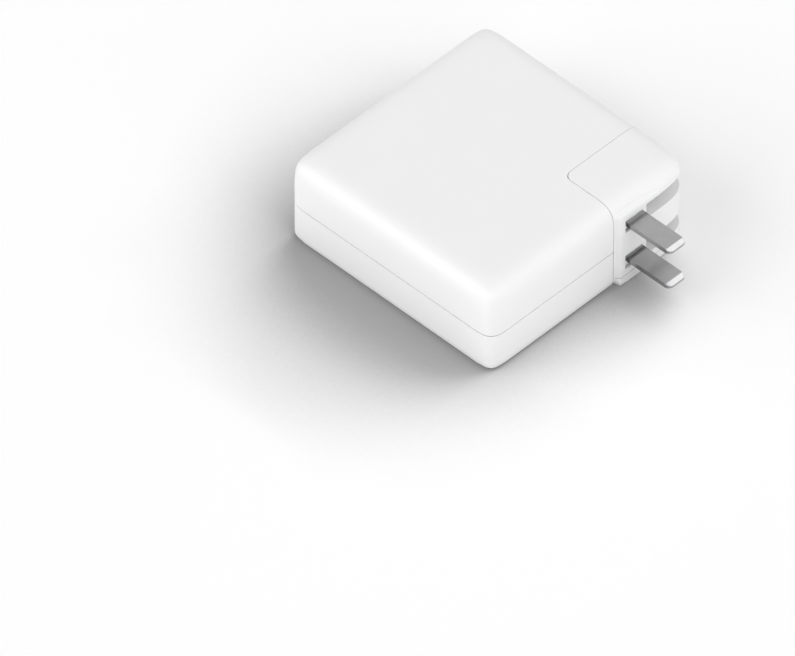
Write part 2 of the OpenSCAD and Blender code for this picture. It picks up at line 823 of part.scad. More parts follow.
module optocoupler() {
    at = [transformer_start + 2.2, bridge_gap_y + 1, board_top + lead];
    color("black") {
        translate(at) cube(optocoupler_size);
        for (x = [at[0] + 1.5, at[0] + optocoupler_size[0] - 1.5])
            legs(x, [at[1] + 0.3, at[1] + optocoupler_size[1] - 0.3], at[2] + 0.5);
    }
}

module output_capacitors() {
    color("silver") for (i = [0:2])
        translate([output_x, output_y + output_radius + i * (2 * output_radius + component_gap),
                board_top]) {
            cylinder(r = output_radius - peg_gap, h = lead);
            translate([0, 0, lead]) cylinder(r = output_radius, h = output_height - lead);
        }
}

chip_side = 6;
chip_step = 12;        // spacing of the chips from the middle of the board
chip_lift = 4;

module controller_chips() {
    color("black") {
        for (place = [[-2, -2], [0.5, -1.7], [-1, 1]])
            translate([chip_step * place[0], chip_step * place[1], board_bottom - chip_height])
                cube([chip_side, chip_side, chip_height]);
        translate([control_x - chip_height, filter_y - chip_side / 2, board_top + chip_lift])
            cube([chip_height, chip_side, chip_side]);
    }
}

module upper_heat_spreader() {
    half = [inner_x - shoulder_reach - component_gap, inner_y - shoulder_reach - component_gap];
    color("lightgray") translate([0, 0, spreader_z]) linear_extrude(spreader_thickness)
        difference() {
            square(2 * half, center = true);
            translate([bay_wall_x - small_gap, bay_wall_y - small_gap])
                square([body_length, body_width]);
        }
}

module floor_plate(low_z, thickness) {
    box([spreader_inset - inner_x, spreader_inset - inner_y, low_z],
        [inner_x - spreader_inset, bay_wall_y - spreader_inset, low_z + thickness]);
    box([spreader_inset - inner_x, bay_wall_y - spreader_inset - past, low_z],
        [bay_wall_x - spreader_inset, inner_y - spreader_inset, low_z + thickness]);
}

module lower_heat_spreader() {
    color("lightgray") floor_plate(skin, spreader_thickness);
}

module insulating_film() {
    color("orange") floor_plate(film_z, film_thickness);
}

pad_start = 0.2;       // distance of the pad's ramp from the seam
plug_sweep = 5;        // segments in the block's rear corner
ramp_steps = 6;        // segments across the pad's ramp
round_steps = 12;      // segments in the block's outer corner

// 0 at the side of the pad, 1 on the pad, with soft ends.
function soft(t) = let (u = min(max(t, 0), 1)) u * u * (3 - 2 * u);

// How proud the front stands at a distance from the seam and a height. The pad ramps up from
// the seam and from its crease. Towards the outer corner the crease fades, and the soft top edge
// takes the rise over and loses it on its way up.
function front_rise(y, z) =
    let (
        side = soft((y - plug_y - pad_start) / pad_ramp),
        below = soft((pad_crease - z) / pad_ramp),
        corner = soft((y - plug_y - pad_fade) / pad_fade_length),
        above = soft((body_height - z) / (body_height - pad_crease + pad_ramp))
    )
    pad_rise * max(side * below, corner * above);

// One level of the plug block.
function plug_ring(inset_x, inset_y, z) =
    let (
        arc_y = right_y - plug_corner_radius,
        arc_x = front_x + front_rise(right_y, z) - plug_corner_radius,
        radius_x = plug_corner_radius - inset_x,
        radius_y = plug_corner_radius - inset_y,
        bay = bay_corner_radius,
        ramp_y = plug_y + pad_start,
        flat_y = ramp_y + pad_ramp,
        ramp_ys = [for (i = [0:ramp_steps]) ramp_y + pad_ramp * i / ramp_steps],
        front_ys = [for (i = [1:ramp_steps]) flat_y + (arc_y - flat_y) * i / (ramp_steps + 1)]
    )
    concat(
        [for (i = [0:plug_sweep]) let (turn = 180 + 90 * i / plug_sweep)
            [plug_x + bay + bay * cos(turn), plug_y + bay + bay * sin(turn), z]],
        [[front_x - inset_x, plug_y, z]],
        [for (y = concat(ramp_ys, front_ys)) [front_x + front_rise(y, z) - inset_x, y, z]],
        [for (i = [0:round_steps]) let (turn = 90 * i / round_steps)
            [arc_x + radius_x * cos(turn), arc_y + radius_y * sin(turn), z]],
        [[plug_x, right_y - inset_y, z]]
    );

// Inset of the soft top edge at a height.
function inset_at(z) =
    let (climb = max(z - body_height + shoulder_reach, 0) / shoulder_reach)
        shoulder_reach * (1 - pow(1 - pow(climb, shoulder_power), 1 / shoulder_power));

module plug_upper_form() {
    shoulder_z = body_height - shoulder_reach;
    pad_z = pad_crease - pad_ramp;
    levels = concat(
        [cover_height + line_chamfer],
        [for (k = [0:3]) shoulder_z + k * (pad_z - shoulder_z) / 4],
        [for (k = [0:5]) pad_z + k * pad_ramp / 5],
        [for (k = [0:shoulder_steps]) let (z = body_height - shoulder_drop(k / shoulder_steps))
            if (z > pad_crease + line_chamfer) z]
    );
    loft(concat([plug_ring(line_chamfer, line_chamfer, cover_height)],
        [for (z = levels) plug_ring(inset_at(z), inset_at(z), z)]));
}

module plug_lower_form() {
    loft(concat(
        [for (k = [0:foot_steps]) let (turn = 90 * k / foot_steps)
            plug_ring(pad_foot * (1 - sin(turn)), foot_radius * (1 - sin(turn)),
                foot_radius * (1 - cos(turn)))],
        [plug_ring(0, 0, cover_height - line_chamfer),
            plug_ring(line_chamfer, line_chamfer, cover_height)]
    ));
}

// A head of the carrier from above, grown by a clearance: round behind, flat in front.
module carrier_plan(grow = 0) {
    circle(carrier_radius + grow);
    translate([carrier_front / 2, (carrier_side - carrier_left) / 2])
        rounded_plan(carrier_front / 2 + grow, (carrier_side + carrier_left) / 2 + grow,
            carrier_corner + grow);
}

// The room that a head needs to turn in.
module pocket_plan() {
    circle(rear_pocket);
    intersection() {
        circle(pocket_radius);
        translate([-rear_pocket, -carrier_left - 2 * carrier_gap]) square(3 * pocket_radius);
    }
}

// Everything that is cut out of the plug block's shell.
module plug_cuts() {
    stud_slot = stud_neck + slide_gap;
    // The hollow behind the blades
    box([plug_hollow_x, plug_hollow_y, cover_height - past],
        [plug_hollow_end, right_y - hollow_side, body_height - hollow_roof]);
    // The two slots and the round pockets behind them
    for (z = slot_levels) {
        box([slot_back_x, slot_left_y, z - slot_height / 2],
            [pad_x + past, right_y + past, z + slot_height / 2]);
        translate([pivot_x, pivot_y, z - slot_height / 2])
            linear_extrude(slot_height) pocket_plan();
    }
    // The way in for the carrier, from below, and the upper journal's bore
    translate([pivot_x, pivot_y, cover_height - past])
        linear_extrude(slot_roof - cover_height + past) carrier_plan(carrier_gap - 0.05);
    translate([pivot_x, pivot_y, slot_roof])
        cylinder(r = journal_radius + journal_gap, h = journal_length);
    // The T-shaped channel that slides over the stud
    box([plug_x - past, plug_y - past, blade_mid_z - stud_slot],
        [clip_end_x, clip_back_y, blade_mid_z + stud_slot]);
    box([plug_x - past, clip_lip_y, blade_mid_z - clip_half],
        [clip_end_x + clip_wall, clip_back_y + clip_wall, blade_mid_z + clip_half]);
    // The opening for the nose and the window of the detent spring
    translate([plug_x - past, inlet_y, blade_mid_z])
        figure_eight(nose_radius + small_gap, plug_wall + 2 * past);
    window = nib_half + nib_play;
    box([plug_hollow_end - past, pivot_y - window, blade_mid_z - window],
        [pivot_x, pivot_y + window, blade_mid_z + window]);
}

module plug_shell() {
    color("white") difference() {
        plug_upper_form();
        plug_cuts();
    }
}

module plug_cover() {
    boss_top = slot_floor - 0.05;
    color("white") difference() {
        union() {
            plug_lower_form();
            translate([pivot_x, pivot_y, cover_height - past])
                linear_extrude(boss_top - cover_height + past) carrier_plan(carrier_gap - small_gap);
        }
        translate([pivot_x, pivot_y, boss_top - journal_length])
            cylinder(r = journal_radius + journal_gap, h = journal_length + past);
    }
}

module plug_nose() {
    body_end = plug_hollow_x + nose_flange;
    half_y = inlet_y - plug_hollow_y - small_gap;
    half_z = nose_radius + 1;
    color("dimgray") translate([0, inlet_y, blade_mid_z]) difference() {
        union() {
            translate([nose_tip_x, 0, 0]) figure_eight(nose_radius, body_end - nose_tip_x);
            box([plug_hollow_x, -half_y, -half_z], [body_end, half_y, half_z]);
        }
        for (side = [-1, 1])
            rod_x([nose_tip_x - past, side * pin_pitch / 2, 0], contact_radius,
                body_end - nose_tip_x + 2 * past);
    }
}

module socket_contacts() {
    bar_half = 1;
    start = nose_tip_x + lead;
    end = plug_hollow_x + nose_flange;
    color("goldenrod") for (side = [-1, 1])
        translate([0, inlet_y + side * pin_pitch / 2, blade_mid_z]) {
            difference() {
                rod_x([start, 0, 0], contact_radius, end - start);
                rod_x([start - past, 0, 0], pin_radius + pin_gap, bay_x - start + past);
            }
            box([end, -bar_half, -bar_half], [leaf_x, bar_half, bar_half]);
        }
}

// Two leaf springs that feed the blades' tails from the socket contacts.
module blade_contacts() {
    half = 1.3;
    start = plug_hollow_y + small_gap;
    pins = [inlet_y - pin_pitch / 2, inlet_y + pin_pitch / 2];
    foot_starts = [pivot_y + nib_half + nib_play, pins[1] - half];
    color("goldenrod") for (side = [0, 1]) {
        z = blade_levels[side];
        end = pins[side] + half;
        box([leaf_x, start, z - half], [leaf_x + leaf, end, z + half]);
        box([leaf_x, foot_starts[side], min(z, blade_mid_z) - half],
            [leaf_x + leaf, end, max(z, blade_mid_z) + half]);
    }
}

// The channel that grips the stud's head.
module stud_clip() {
    half = clip_half - fit_gap;
    color("silver") difference() {
        box([clip_start_x, clip_lip_y + fit_gap, blade_mid_z - half],
            [clip_end_x + clip_wall - fit_gap, clip_back_y + clip_wall - fit_gap,
                blade_mid_z + half]);
        box([clip_start_x - past, clip_lip_y - past, blade_mid_z - clip_half + clip_wall],
            [clip_end_x, clip_back_y, blade_mid_z + clip_half - clip_wall]);
    }
}

module detent_spring() {
    nib_x = pivot_x - drum_radius - nib_play;
    half = blade_pitch / 2 - 3;
    color("silver") {
        box([plug_hollow_end - leaf, pivot_y - nib_half, blade_mid_z - half],
            [plug_hollow_end, pivot_y + nib_half, blade_mid_z + half]);
        box([plug_hollow_end - leaf, pivot_y - nib_half, blade_mid_z - nib_half],
            [nib_x, pivot_y + nib_half, blade_mid_z + nib_half]);
    }
}

// The turning block: a round drum between two square heads, with a journal at each end.
module blade_carrier() {
    low = slot_floor + carrier_ease;
    high = slot_roof - carrier_ease;
    color("whitesmoke") translate([pivot_x, pivot_y, 0]) difference() {
        union() {
            translate([0, 0, low - journal_length]) cylinder(r = journal_radius,
                h = high - low + 2 * journal_length);
            translate([0, 0, low]) cylinder(r = drum_radius, h = high - low);
            for (z = slot_levels) translate([0, 0, z - slot_height / 2 + carrier_ease])
                linear_extrude(slot_height - 2 * carrier_ease) carrier_plan();
        }
        for (z = blade_levels) translate([0, 0, z]) {
            box([-carrier_radius - past, -blade_tail / 2, -blade_thickness / 2],
                [0, blade_tail / 2, blade_thickness / 2]);
            box([-root_length, -blade_width / 2, -blade_thickness / 2],
                [carrier_front + past, blade_width / 2, blade_thickness / 2]);
        }
        // Notches that the detent spring finds at each end of the turn
        for (turn = [90, 180]) rotate([0, 0, turn])
            translate([drum_radius, 0, blade_mid_z]) rotate([0, 0, 45])
                cube([notch, notch, 2 * nib_half + notch], center = true);
    }
}

// A flat blade from its tail behind the carrier to its bevelled, round-cornered tip.
module blade(z) {
    tip_x = pad_x + blade_reach;
    half = blade_thickness / 2;
    edge = 0.3;
    root_x = pivot_x - root_length;
    color("silver") translate([0, pivot_y, z]) {
        intersection() {
            translate([0, 0, -half]) linear_extrude(blade_thickness) {
                translate([root_x, -blade_width / 2])
                    square([tip_x - blade_corner - root_x, blade_width]);
                translate([root_x, blade_corner - blade_width / 2])
                    square([tip_x - root_x, blade_width - 2 * blade_corner]);
                for (side = [-1, 1])
                    translate([tip_x - blade_corner, side * (blade_width / 2 - blade_corner)])
                        circle(blade_corner);
            }
            translate([0, blade_width, 0]) rotate([90, 0, 0]) linear_extrude(2 * blade_width)
                polygon([[root_x, -half], [tip_x - blade_bevel, -half], [tip_x, -edge],
                    [tip_x, edge], [tip_x - blade_bevel, half], [root_x, half]]);
        }
        box([tail_x, -blade_tail / 2, -half], [root_x + 0.01, blade_tail / 2, half]);
    }
}

module upper_blade() {
    blade(blade_levels[1]);
}

module lower_blade() {
    blade(blade_levels[0]);
}

upper_shell();
lower_shell();
main_board();
control_board();
usb_board();
usb_port_shell();
usb_port_tongue();
usb_port_contacts();
inlet_socket();
inlet_pins();
inlet_leads();
mounting_stud();
ground_strap();
fuse();
varistor();
x_capacitor();
choke_core();
choke_windings();
bridge_rectifier();
bulk_capacitors();
primary_transistor();
primary_heat_sink();
transformer_core();
transformer_bobbin();
transformer_winding();
y_capacitor();
optocoupler();
rectifier_transistor();
secondary_heat_sink();
output_capacitors();
controller_chips();
upper_heat_spreader();
lower_heat_spreader();
insulating_film();
thermal_pad();
plug_shell();
plug_cover();
plug_nose();
socket_contacts();
stud_clip();
blade_contacts();
detent_spring();
blade_carrier();
upper_blade();
lower_blade();
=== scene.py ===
# %% [markdown]
# # A laptop power adapter in white plastic
# The real object is a square white block. Two moulded half shells make its case, and one
# corner is a separate block with two flat metal blades. The blades turn on a small drum and
# fold into slots, and the whole corner pulls off along the blades.
# The loaded frame already holds every solid at its true place. This lesson remodels what
# the eye meets first, and then gives every other solid a finish of its own.

# %% Load the frame
import json
import math

import bmesh
import bpy
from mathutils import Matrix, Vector


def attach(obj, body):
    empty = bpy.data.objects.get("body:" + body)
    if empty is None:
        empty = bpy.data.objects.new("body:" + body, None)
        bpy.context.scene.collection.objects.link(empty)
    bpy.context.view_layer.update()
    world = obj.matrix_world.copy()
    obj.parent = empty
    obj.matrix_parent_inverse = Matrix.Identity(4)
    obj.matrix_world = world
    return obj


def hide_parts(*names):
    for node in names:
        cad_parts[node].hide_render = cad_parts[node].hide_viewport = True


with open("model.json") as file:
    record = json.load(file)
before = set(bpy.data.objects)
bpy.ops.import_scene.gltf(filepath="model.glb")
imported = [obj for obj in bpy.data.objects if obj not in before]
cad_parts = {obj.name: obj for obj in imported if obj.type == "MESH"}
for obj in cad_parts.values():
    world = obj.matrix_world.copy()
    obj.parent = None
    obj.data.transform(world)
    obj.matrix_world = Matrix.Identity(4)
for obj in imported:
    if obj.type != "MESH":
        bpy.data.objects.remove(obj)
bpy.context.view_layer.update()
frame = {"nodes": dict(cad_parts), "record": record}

# %% [markdown]
# ## Working in millimetres
# Blender counts in metres and the drawing of a plug is in millimetres, so each helper
# below takes millimetres and turns them into metres itself.
# A new primitive joins whatever is selected, and loading leaves every solid selected. Each
# step therefore starts by deselecting all, and picks its faces or edges by their place.

# %% Selection helpers
MM = 0.001
NEAR = 0.01              # how far off a place in mm may be and still count as on it
TOUCH = 0.02             # the same on a curved skin


def start_clean():
    """Leaves edit mode and deselects every object."""
    if bpy.context.mode != "OBJECT":
        bpy.ops.object.mode_set(mode="OBJECT")
    bpy.ops.object.select_all(action="DESELECT")


def take(obj):
    """Selects one object and nothing else."""
    start_clean()
    obj.select_set(True)
    bpy.context.view_layer.objects.active = obj


def open_mesh(obj, kind="FACE"):
    """Opens one object in edit mode with nothing selected."""
    take(obj)
    bpy.ops.object.mode_set(mode="EDIT")
    bpy.ops.mesh.select_mode(type=kind)
    bpy.ops.mesh.select_all(action="DESELECT")


def pick(obj, kind, test):
    """Opens a mesh and selects its faces or edges whose corners, in mm, pass a test."""
    open_mesh(obj, kind)
    mesh = bmesh.from_edit_mesh(obj.data)
    found = 0
    for part in mesh.faces if kind == "FACE" else mesh.edges:
        if test(part, [v.co / MM for v in part.verts]):
            part.select_set(True)
            found += 1
    mesh.select_flush_mode()
    bmesh.update_edit_mesh(obj.data)
    return found


def apply_all(obj):
    """Applies every modifier in turn."""
    take(obj)
    for name in [m.name for m in obj.modifiers]:
        bpy.ops.object.modifier_apply(modifier=name)


def settle(obj):
    """Moves an object's place, turn and size into its mesh."""
    take(obj)
    bpy.ops.object.transform_apply(location=True, rotation=True, scale=True)


# %% [markdown]
# ## Blocks, rods and cutting
# Moulded parts start as plain blocks and rods. A block is given by two opposite corners, and
# a rod by its middle, radius, length and axis. Holes are cut with a Boolean modifier. Its
# exact solver is chosen, because the fast one can fail where faces lie in one plane.

# %% Blocks, rods and cutting
def block(name, low, high):
    """A block between two corners in mm."""
    start_clean()
    centre = [(a + b) / 2 * MM for a, b in zip(low, high)]
    bpy.ops.mesh.primitive_cube_add(size=1, location=centre)
    obj = bpy.context.active_object
    obj.name = obj.data.name = name
    obj.scale = [(b - a) * MM for a, b in zip(low, high)]
    settle(obj)
    return obj


def bar(name, start_x, end_x, y, z, wide, tall):
    """A block along X between two ends, about a line at y and z."""
    return block(name, (start_x, y - wide / 2, z - tall / 2), (end_x, y + wide / 2, z + tall / 2))


QUARTER = math.pi / 2
TURNS = {"x": (0, QUARTER, 0), "y": (QUARTER, 0, 0), "z": (0, 0, 0)}


def rod(name, centre, radius, length, axis="z", sides=48):
    """A rod about its middle in mm."""
    start_clean()
    bpy.ops.mesh.primitive_cone_add(
        vertices=sides, radius1=radius * MM, radius2=radius * MM, depth=length * MM,
        location=[c * MM for c in centre], rotation=TURNS[axis])
    obj = bpy.context.active_object
    obj.name = obj.data.name = name
    settle(obj)
    return obj


def cut(target, *cutters, mode="DIFFERENCE"):
    """Cuts the cutters out of the target and clears them away."""
    for cutter in cutters:
        tool = target.modifiers.new("cut", "BOOLEAN")
        tool.operation = mode
        tool.solver = "EXACT"
        tool.object = cutter
        apply_all(target)
        bpy.data.objects.remove(cutter)
    return target


def fuse(target, *parts):
    """Makes one solid of the target and the parts."""
    return cut(target, *parts, mode="UNION")


def join(name, *parts):
    """Joins finished parts into one piece."""
    start_clean()
    for part in parts:
        part.select_set(True)
    bpy.context.view_layer.objects.active = parts[0]
    bpy.ops.object.join()
    parts[0].name = parts[0].data.name = name
    return parts[0]


# %% [markdown]
# ## Rounding edges
# A large soft edge is part of the form, and a tiny one only breaks a sharp corner so that it
# catches the light. Both come from bevels. The large edges differ in size and meet at the
# corners, so they are bevelled at once, by weight, and Blender blends each corner.
# The profile value sets how square the curve is: 0.5 is a circle, and a higher value stays
# flat for longer and then turns faster, as the soft edge of this case does. The curve is
# x**n + y**n = 1, and the profile value for a given n is 2 ** (-2 / n).

# %% Rounding helpers
SQUARE = 3.5                  # the n of the soft edges
SOFT = 2 ** (-2 / SQUARE)
CIRCLE = 0.5
# The reach of a soft edge that stands as far in as a circle of radius 1.
SAME_CORNER = (1 - 0.5 ** 0.5) / (1 - 0.5 ** (1 / SQUARE))
print("profile:", round(SOFT, 3), "reach for radius 1:", round(SAME_CORNER, 3))


def soften(obj, reaches, segments, profile=SOFT):
    """Bevels edges by weight: reaches lists a test on an edge with a reach in mm."""
    found = {}
    points = [v.co / MM for v in obj.data.vertices]
    for edge in obj.data.edges:
        ends = [points[i] for i in edge.vertices]
        for test, reach in reaches:
            if test(ends):
                found[edge.index] = reach(ends) if callable(reach) else reach
    widest = max(found.values())
    if "bevel_weight_edge" in obj.data.attributes:
        obj.data.attributes.remove(obj.data.attributes["bevel_weight_edge"])
    weights = obj.data.attributes.new("bevel_weight_edge", "FLOAT", "EDGE")
    for index, reach in found.items():
        weights.data[index].value = reach / widest
    tool = obj.modifiers.new("soft edges", "BEVEL")
    tool.limit_method = "WEIGHT"
    tool.width = widest * MM
    tool.segments = segments
    tool.profile = profile
    tool.use_clamp_overlap = False
    apply_all(obj)
    return obj


def break_edges(obj, width, test, segments=2, angle=35):
    """Rounds the sharp edges that pass a test by a small width in mm."""
    limit = math.radians(angle)

    def sharp(edge, ends):
        return len(edge.link_faces) == 2 and edge.calc_face_angle(0) >= limit and test(ends)

    found = pick(obj, "EDGE", sharp)
    if found:
        bpy.ops.mesh.bevel(offset=width * MM, segments=segments, profile=CIRCLE,
                           clamp_overlap=True, loop_slide=True)
    start_clean()
    return found


def shade(obj, angle=30):
    """Smooth shading that keeps sharp edges and lets the large faces stay flat."""
    take(obj)
    bpy.ops.object.shade_smooth_by_angle(angle=math.radians(angle))
    flatten = obj.modifiers.new("large faces lead", "WEIGHTED_NORMAL")
    flatten.keep_sharp = True
    flatten.weight = 100
    apply_all(obj)
    print(obj.name, "faces:", len(obj.data.polygons))
    return obj


PIECES = {}


def declare(piece, body, slot, node):
    """Ties a finished piece to its body, its finish and the solid that it stands for."""
    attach(piece, body)
    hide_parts(node)
    PIECES[piece.name] = slot


def all_at(axis, value):
    """A test for edges whose ends all lie in a plane across an axis."""
    k = "xyz".index(axis)
    return lambda ends: all(abs(p[k] - value) < NEAR for p in ends)


def upright(x, y):
    """A test for an upright edge at a place in the plan."""
    return lambda ends: all(abs(p.x - x) < NEAR and abs(p.y - y) < NEAR for p in ends)


def rising(ends):
    """A test for edges that aren't level."""
    return abs(ends[0].z - ends[1].z) > 0.1


# %% [markdown]
# ## The camera
# The object is seen from above its front corner, almost without perspective, so the camera
# stands far off with a long lens. A parallel camera would do too, but a long lens keeps the
# last trace of depth. It comes first, because every look at the work needs it.

# %% Camera
AZIMUTH = math.radians(44.35)
ELEVATION = math.radians(45.23)
WIDTH_SEEN = 207.03      # mm across the picture
LENS, SENSOR = 1200, 36
AIM = Vector((0.1, -34.0, -10.17))

back = Vector((math.sin(AZIMUTH) * math.cos(ELEVATION),
               -math.cos(AZIMUTH) * math.cos(ELEVATION), math.sin(ELEVATION)))
bpy.ops.object.camera_add()
camera = bpy.context.active_object
camera.name = "camera"
camera.data.lens = LENS
camera.data.sensor_width = SENSOR
camera.location = (AIM + back * WIDTH_SEEN * LENS / SENSOR) * MM
camera.rotation_mode = "QUATERNION"
camera.rotation_quaternion = back.to_track_quat("Z", "Y")
bpy.context.scene.camera = camera
bpy.context.scene.view_settings.view_transform = "Standard"
print("camera distance in m:", round((camera.location - AIM * MM).length, 3))

# %% [markdown]
# ## The two case halves
# Each half of the real case is one moulding, about 2 mm thick, open where it meets the other.
# It could be drawn as a swept outline, but a block with softened edges gives the same form
# with fewer steps, and its corners blend by themselves. The hollow is a second, smaller
# softened block, and the corner bay is cut from both, so that a wall stays round the bay.

# %% Sizes of the case
HALF = 37.0              # half the width of the square case
TOP = 28.5
PARTING = 13.1           # height where the two halves meet
WALL, ROOF = 2.2, 2.0
SHOULDER = 8.0           # reach of the soft top edge
CORNER = 4.4             # radius that the soft upright corners look like
FOOT = 2.4
BAY = (18.85, 8.5)       # inner corner of the bay for the corner block
BAY_CORNER = 2.5
MID = TOP / 2
BLADE_MID = 14.5         # height midway between the blades
INLET_Y, INLET_HOLE = 22.75, 4.2
PIN_PITCH = 8.6
PIN_ROWS = (INLET_Y - PIN_PITCH / 2, INLET_Y + PIN_PITCH / 2)
STUD_X, STUD_NECK = 24.05, 1.8
FINE = 0.13              # width of a broken edge along a fine seam
GAP_HIGH = 0.24          # the dark gap between two halves, seen from outside
GAP_DEEP = 0.5
BEYOND = (60, 60, 40)    # a corner well outside the object, for spaces open to one side
SMOOTH, PLAIN = 24, 12   # steps round an edge that shows, and round one that hardly does


def four_corners(x, y):
    """A test for any of the four upright edges of a centred block."""
    return lambda ends: rising(ends) and all(
        abs(abs(p.x) - x) < NEAR and abs(abs(p.y) - y) < NEAR for p in ends)


def corner_bay(name, grow=0.0):
    """The space of the corner block, grown by the wall round it."""
    inner = (BAY[0] - grow, BAY[1] - grow)
    space = block(name, (*inner, -5), BEYOND)
    return soften(space, [(upright(*inner), BAY_CORNER + grow)], PLAIN, CIRCLE)


def case_hollow(low, high, top_reach):
    """The hollow of a case half: what lies inside its walls, clear of the bay."""
    side = HALF - WALL
    hollow = block("hollow", (-side, -side, low), (side, side, high))
    edges = [(four_corners(side, side), (CORNER - WALL) * SAME_CORNER)]
    if top_reach:
        edges.append((all_at("z", high), top_reach))
    soften(hollow, edges, PLAIN)
    return cut(hollow, corner_bay("bay", WALL))


def figure_eight(name, radius, low_x, high_x):
    """The outline of the mains inlet, as one bar along X."""
    centre_x, length = (low_x + high_x) / 2, high_x - low_x
    lobes = [rod("lobe", (centre_x, y, BLADE_MID), radius, length, "x") for y in PIN_ROWS]
    eight = fuse(bar("waist", low_x, high_x, INLET_Y, BLADE_MID, PIN_PITCH, 2 * 0.86 * radius),
                 *lobes)
    eight.name = name
    return eight


def port_bar(name, width, height, low_x, high_x, segments=10):
    """A bar along X with fully round sides, as a USB-C opening has."""
    long_edges = lambda ends: abs(ends[0].x - ends[1].x) > 0.1
    just_round = height / 2 * 0.999    # the full half would let two bevels meet in one line
    return soften(bar(name, low_x, high_x, 0, MID, width, height), [(long_edges, just_round)],
                  segments, CIRCLE)


def wall_holes():
    """The holes through the case's walls: the port, the inlet and the stud."""
    return (port_bar("port hole", 9.24, 3.56, -40, -33),
            figure_eight("inlet hole", INLET_HOLE, 14, 22),
            rod("stud hole", (STUD_X, 7.4, BLADE_MID), STUD_NECK, 6, "y"))


def on_outline(x, y, reach):
    """Whether a place lies on the case's outline, its sides and its soft corners."""
    u, v = (max(abs(c) - HALF + reach, 0) / reach for c in (x, y))
    return u ** SQUARE + v ** SQUARE > 0.95


def outside(ends):
    """A test for edges on the outer faces of the case, the bay's seam among them."""
    on_side = all(on_outline(p.x, p.y, CORNER * SAME_CORNER) or not TOUCH <= p.z <= TOP - TOUCH
                  for p in ends)
    soft = all(p.z > TOP - SHOULDER - 0.1 or p.z < FOOT * SAME_CORNER + 0.1 for p in ends)
    return on_side or (soft and along_walls(ends, BAY))


def in_gap(level):
    """A test for what lies in the step that makes the dark gap below a level."""
    return lambda points: all(level - GAP_HIGH - NEAR < p.z < level + NEAR for p in points)


def draw_out(*step):
    """Extrudes the selected faces by a step in mm."""
    bpy.ops.mesh.extrude_region_move(TRANSFORM_OT_translate={"value": [c * MM for c in step]})


def shadow_gap(obj, level):
    """Steps the top face in and then up, which leaves a fine dark gap under the next part."""
    pick(obj, "FACE", lambda face, corners: all_at("z", level)(corners))
    bpy.ops.mesh.inset(thickness=GAP_DEEP * MM, use_even_offset=True)
    draw_out(0, 0, GAP_HIGH)
    start_clean()
    return obj


def along_walls(ends, corner):
    """Whether an edge lies on the two upright walls that meet in a round inner corner."""
    flat = any(all(abs(p[k] - corner[k]) < TOUCH for p in ends) for k in (0, 1))
    middle = Vector(corner) + Vector((BAY_CORNER, BAY_CORNER))
    bend = all(abs((p.xy - middle).length - BAY_CORNER) < TOUCH
               and p.x < middle.x + TOUCH and p.y < middle.y + TOUCH for p in ends)
    return flat or bend


# %% Upper half of the case
case_top = block("case_top", (-HALF, -HALF, PARTING), (HALF, HALF, TOP))
soften(case_top, [(all_at("z", TOP), SHOULDER),
                  (four_corners(HALF, HALF), CORNER * SAME_CORNER)], SMOOTH)
cut(case_top, case_hollow(PARTING - 2, TOP - ROOF, SHOULDER), corner_bay("bay"), *wall_holes())
print("seam edges broken:", break_edges(case_top, FINE, outside))
shade(case_top)

# %% Lower half of the case
case_base = block("case_base", (-HALF, -HALF, 0), (HALF, HALF, PARTING - GAP_HIGH))
soften(case_base, [(all_at("z", 0), FOOT * SAME_CORNER),
                   (four_corners(HALF, HALF), CORNER * SAME_CORNER)], SMOOTH)
shadow_gap(case_base, PARTING - GAP_HIGH)
cut(case_base, case_hollow(ROOF, PARTING + 2, 0), corner_bay("bay"), *wall_holes())
print("seam edges broken:", break_edges(case_base, FINE, outside))
shade(case_base)

for piece, node in ((case_top, "upper_shell"), (case_base, "lower_shell")):
    declare(piece, "housing", "white_case", node)

# %% [markdown]
# ## Inside the lower half
# A real lower half carries the circuit board on posts, each with a peg that locates it, and
# a thin lip that lines the halves up. The lid hides them, but they are cheap to make: short
# rods and rails are fused on, so that they become one moulding with the floor and walls.

# %% Posts and lip
POST, POST_LOW, POST_TOP = 2, 1.5, 4.6     # radius, start inside the floor, and top
PEG, PEG_LOW, PEG_TOP = 1, 3, 6.8
INNER = HALF - WALL
POST_IN = 4.0
POSTS = [(INNER - POST_IN, POST_IN - INNER), (POST_IN - INNER, POST_IN - INNER),
         (POST_IN - INNER, INNER - POST_IN), (INNER - POST_IN, BAY[1] - WALL - POST_IN),
         (BAY[0] - WALL - POST_IN, INNER - POST_IN)]
for x, y in POSTS:
    fuse(case_base, rod("post", (x, y, (POST_LOW + POST_TOP) / 2), POST, POST_TOP - POST_LOW),
         rod("peg", (x, y, (PEG_LOW + PEG_TOP) / 2), PEG, PEG_TOP - PEG_LOW, sides=32))

LIP_IN, LIP_OUT, LIP_TOP = 0.9, 0.1, 1.5
LIP_END = 5.8              # how far a rail ends from the corner
PORT_CLEAR = 7.5
bay_wall = (BAY[0] - WALL, BAY[1] - WALL)
# Each rail: the wall's axis, the wall's place, its inward side, and where the rail runs.
RAILS = [("y", -INNER, 1, LIP_END - INNER, INNER - LIP_END),
         ("y", INNER, -1, LIP_END - INNER, bay_wall[0] - LIP_END),
         ("x", INNER, -1, LIP_END - INNER, bay_wall[1] - LIP_END),
         ("x", -INNER, 1, LIP_END - INNER, -PORT_CLEAR),
         ("x", -INNER, 1, PORT_CLEAR, INNER - LIP_END)]
for axis, wall_at, inward, start, end in RAILS:
    for face, low, high in ((wall_at - 0.2 * inward, PARTING - 3, PARTING),
                            (wall_at + LIP_OUT * inward, PARTING - 1, PARTING + LIP_TOP)):
        near, far = sorted((face, wall_at + LIP_IN * inward))
        if axis == "y":
            rail = block("rail", (start, near, low), (end, far, high))
        else:
            rail = block("rail", (near, start, low), (far, end, high))
        fuse(case_base, rail)
shade(case_base)

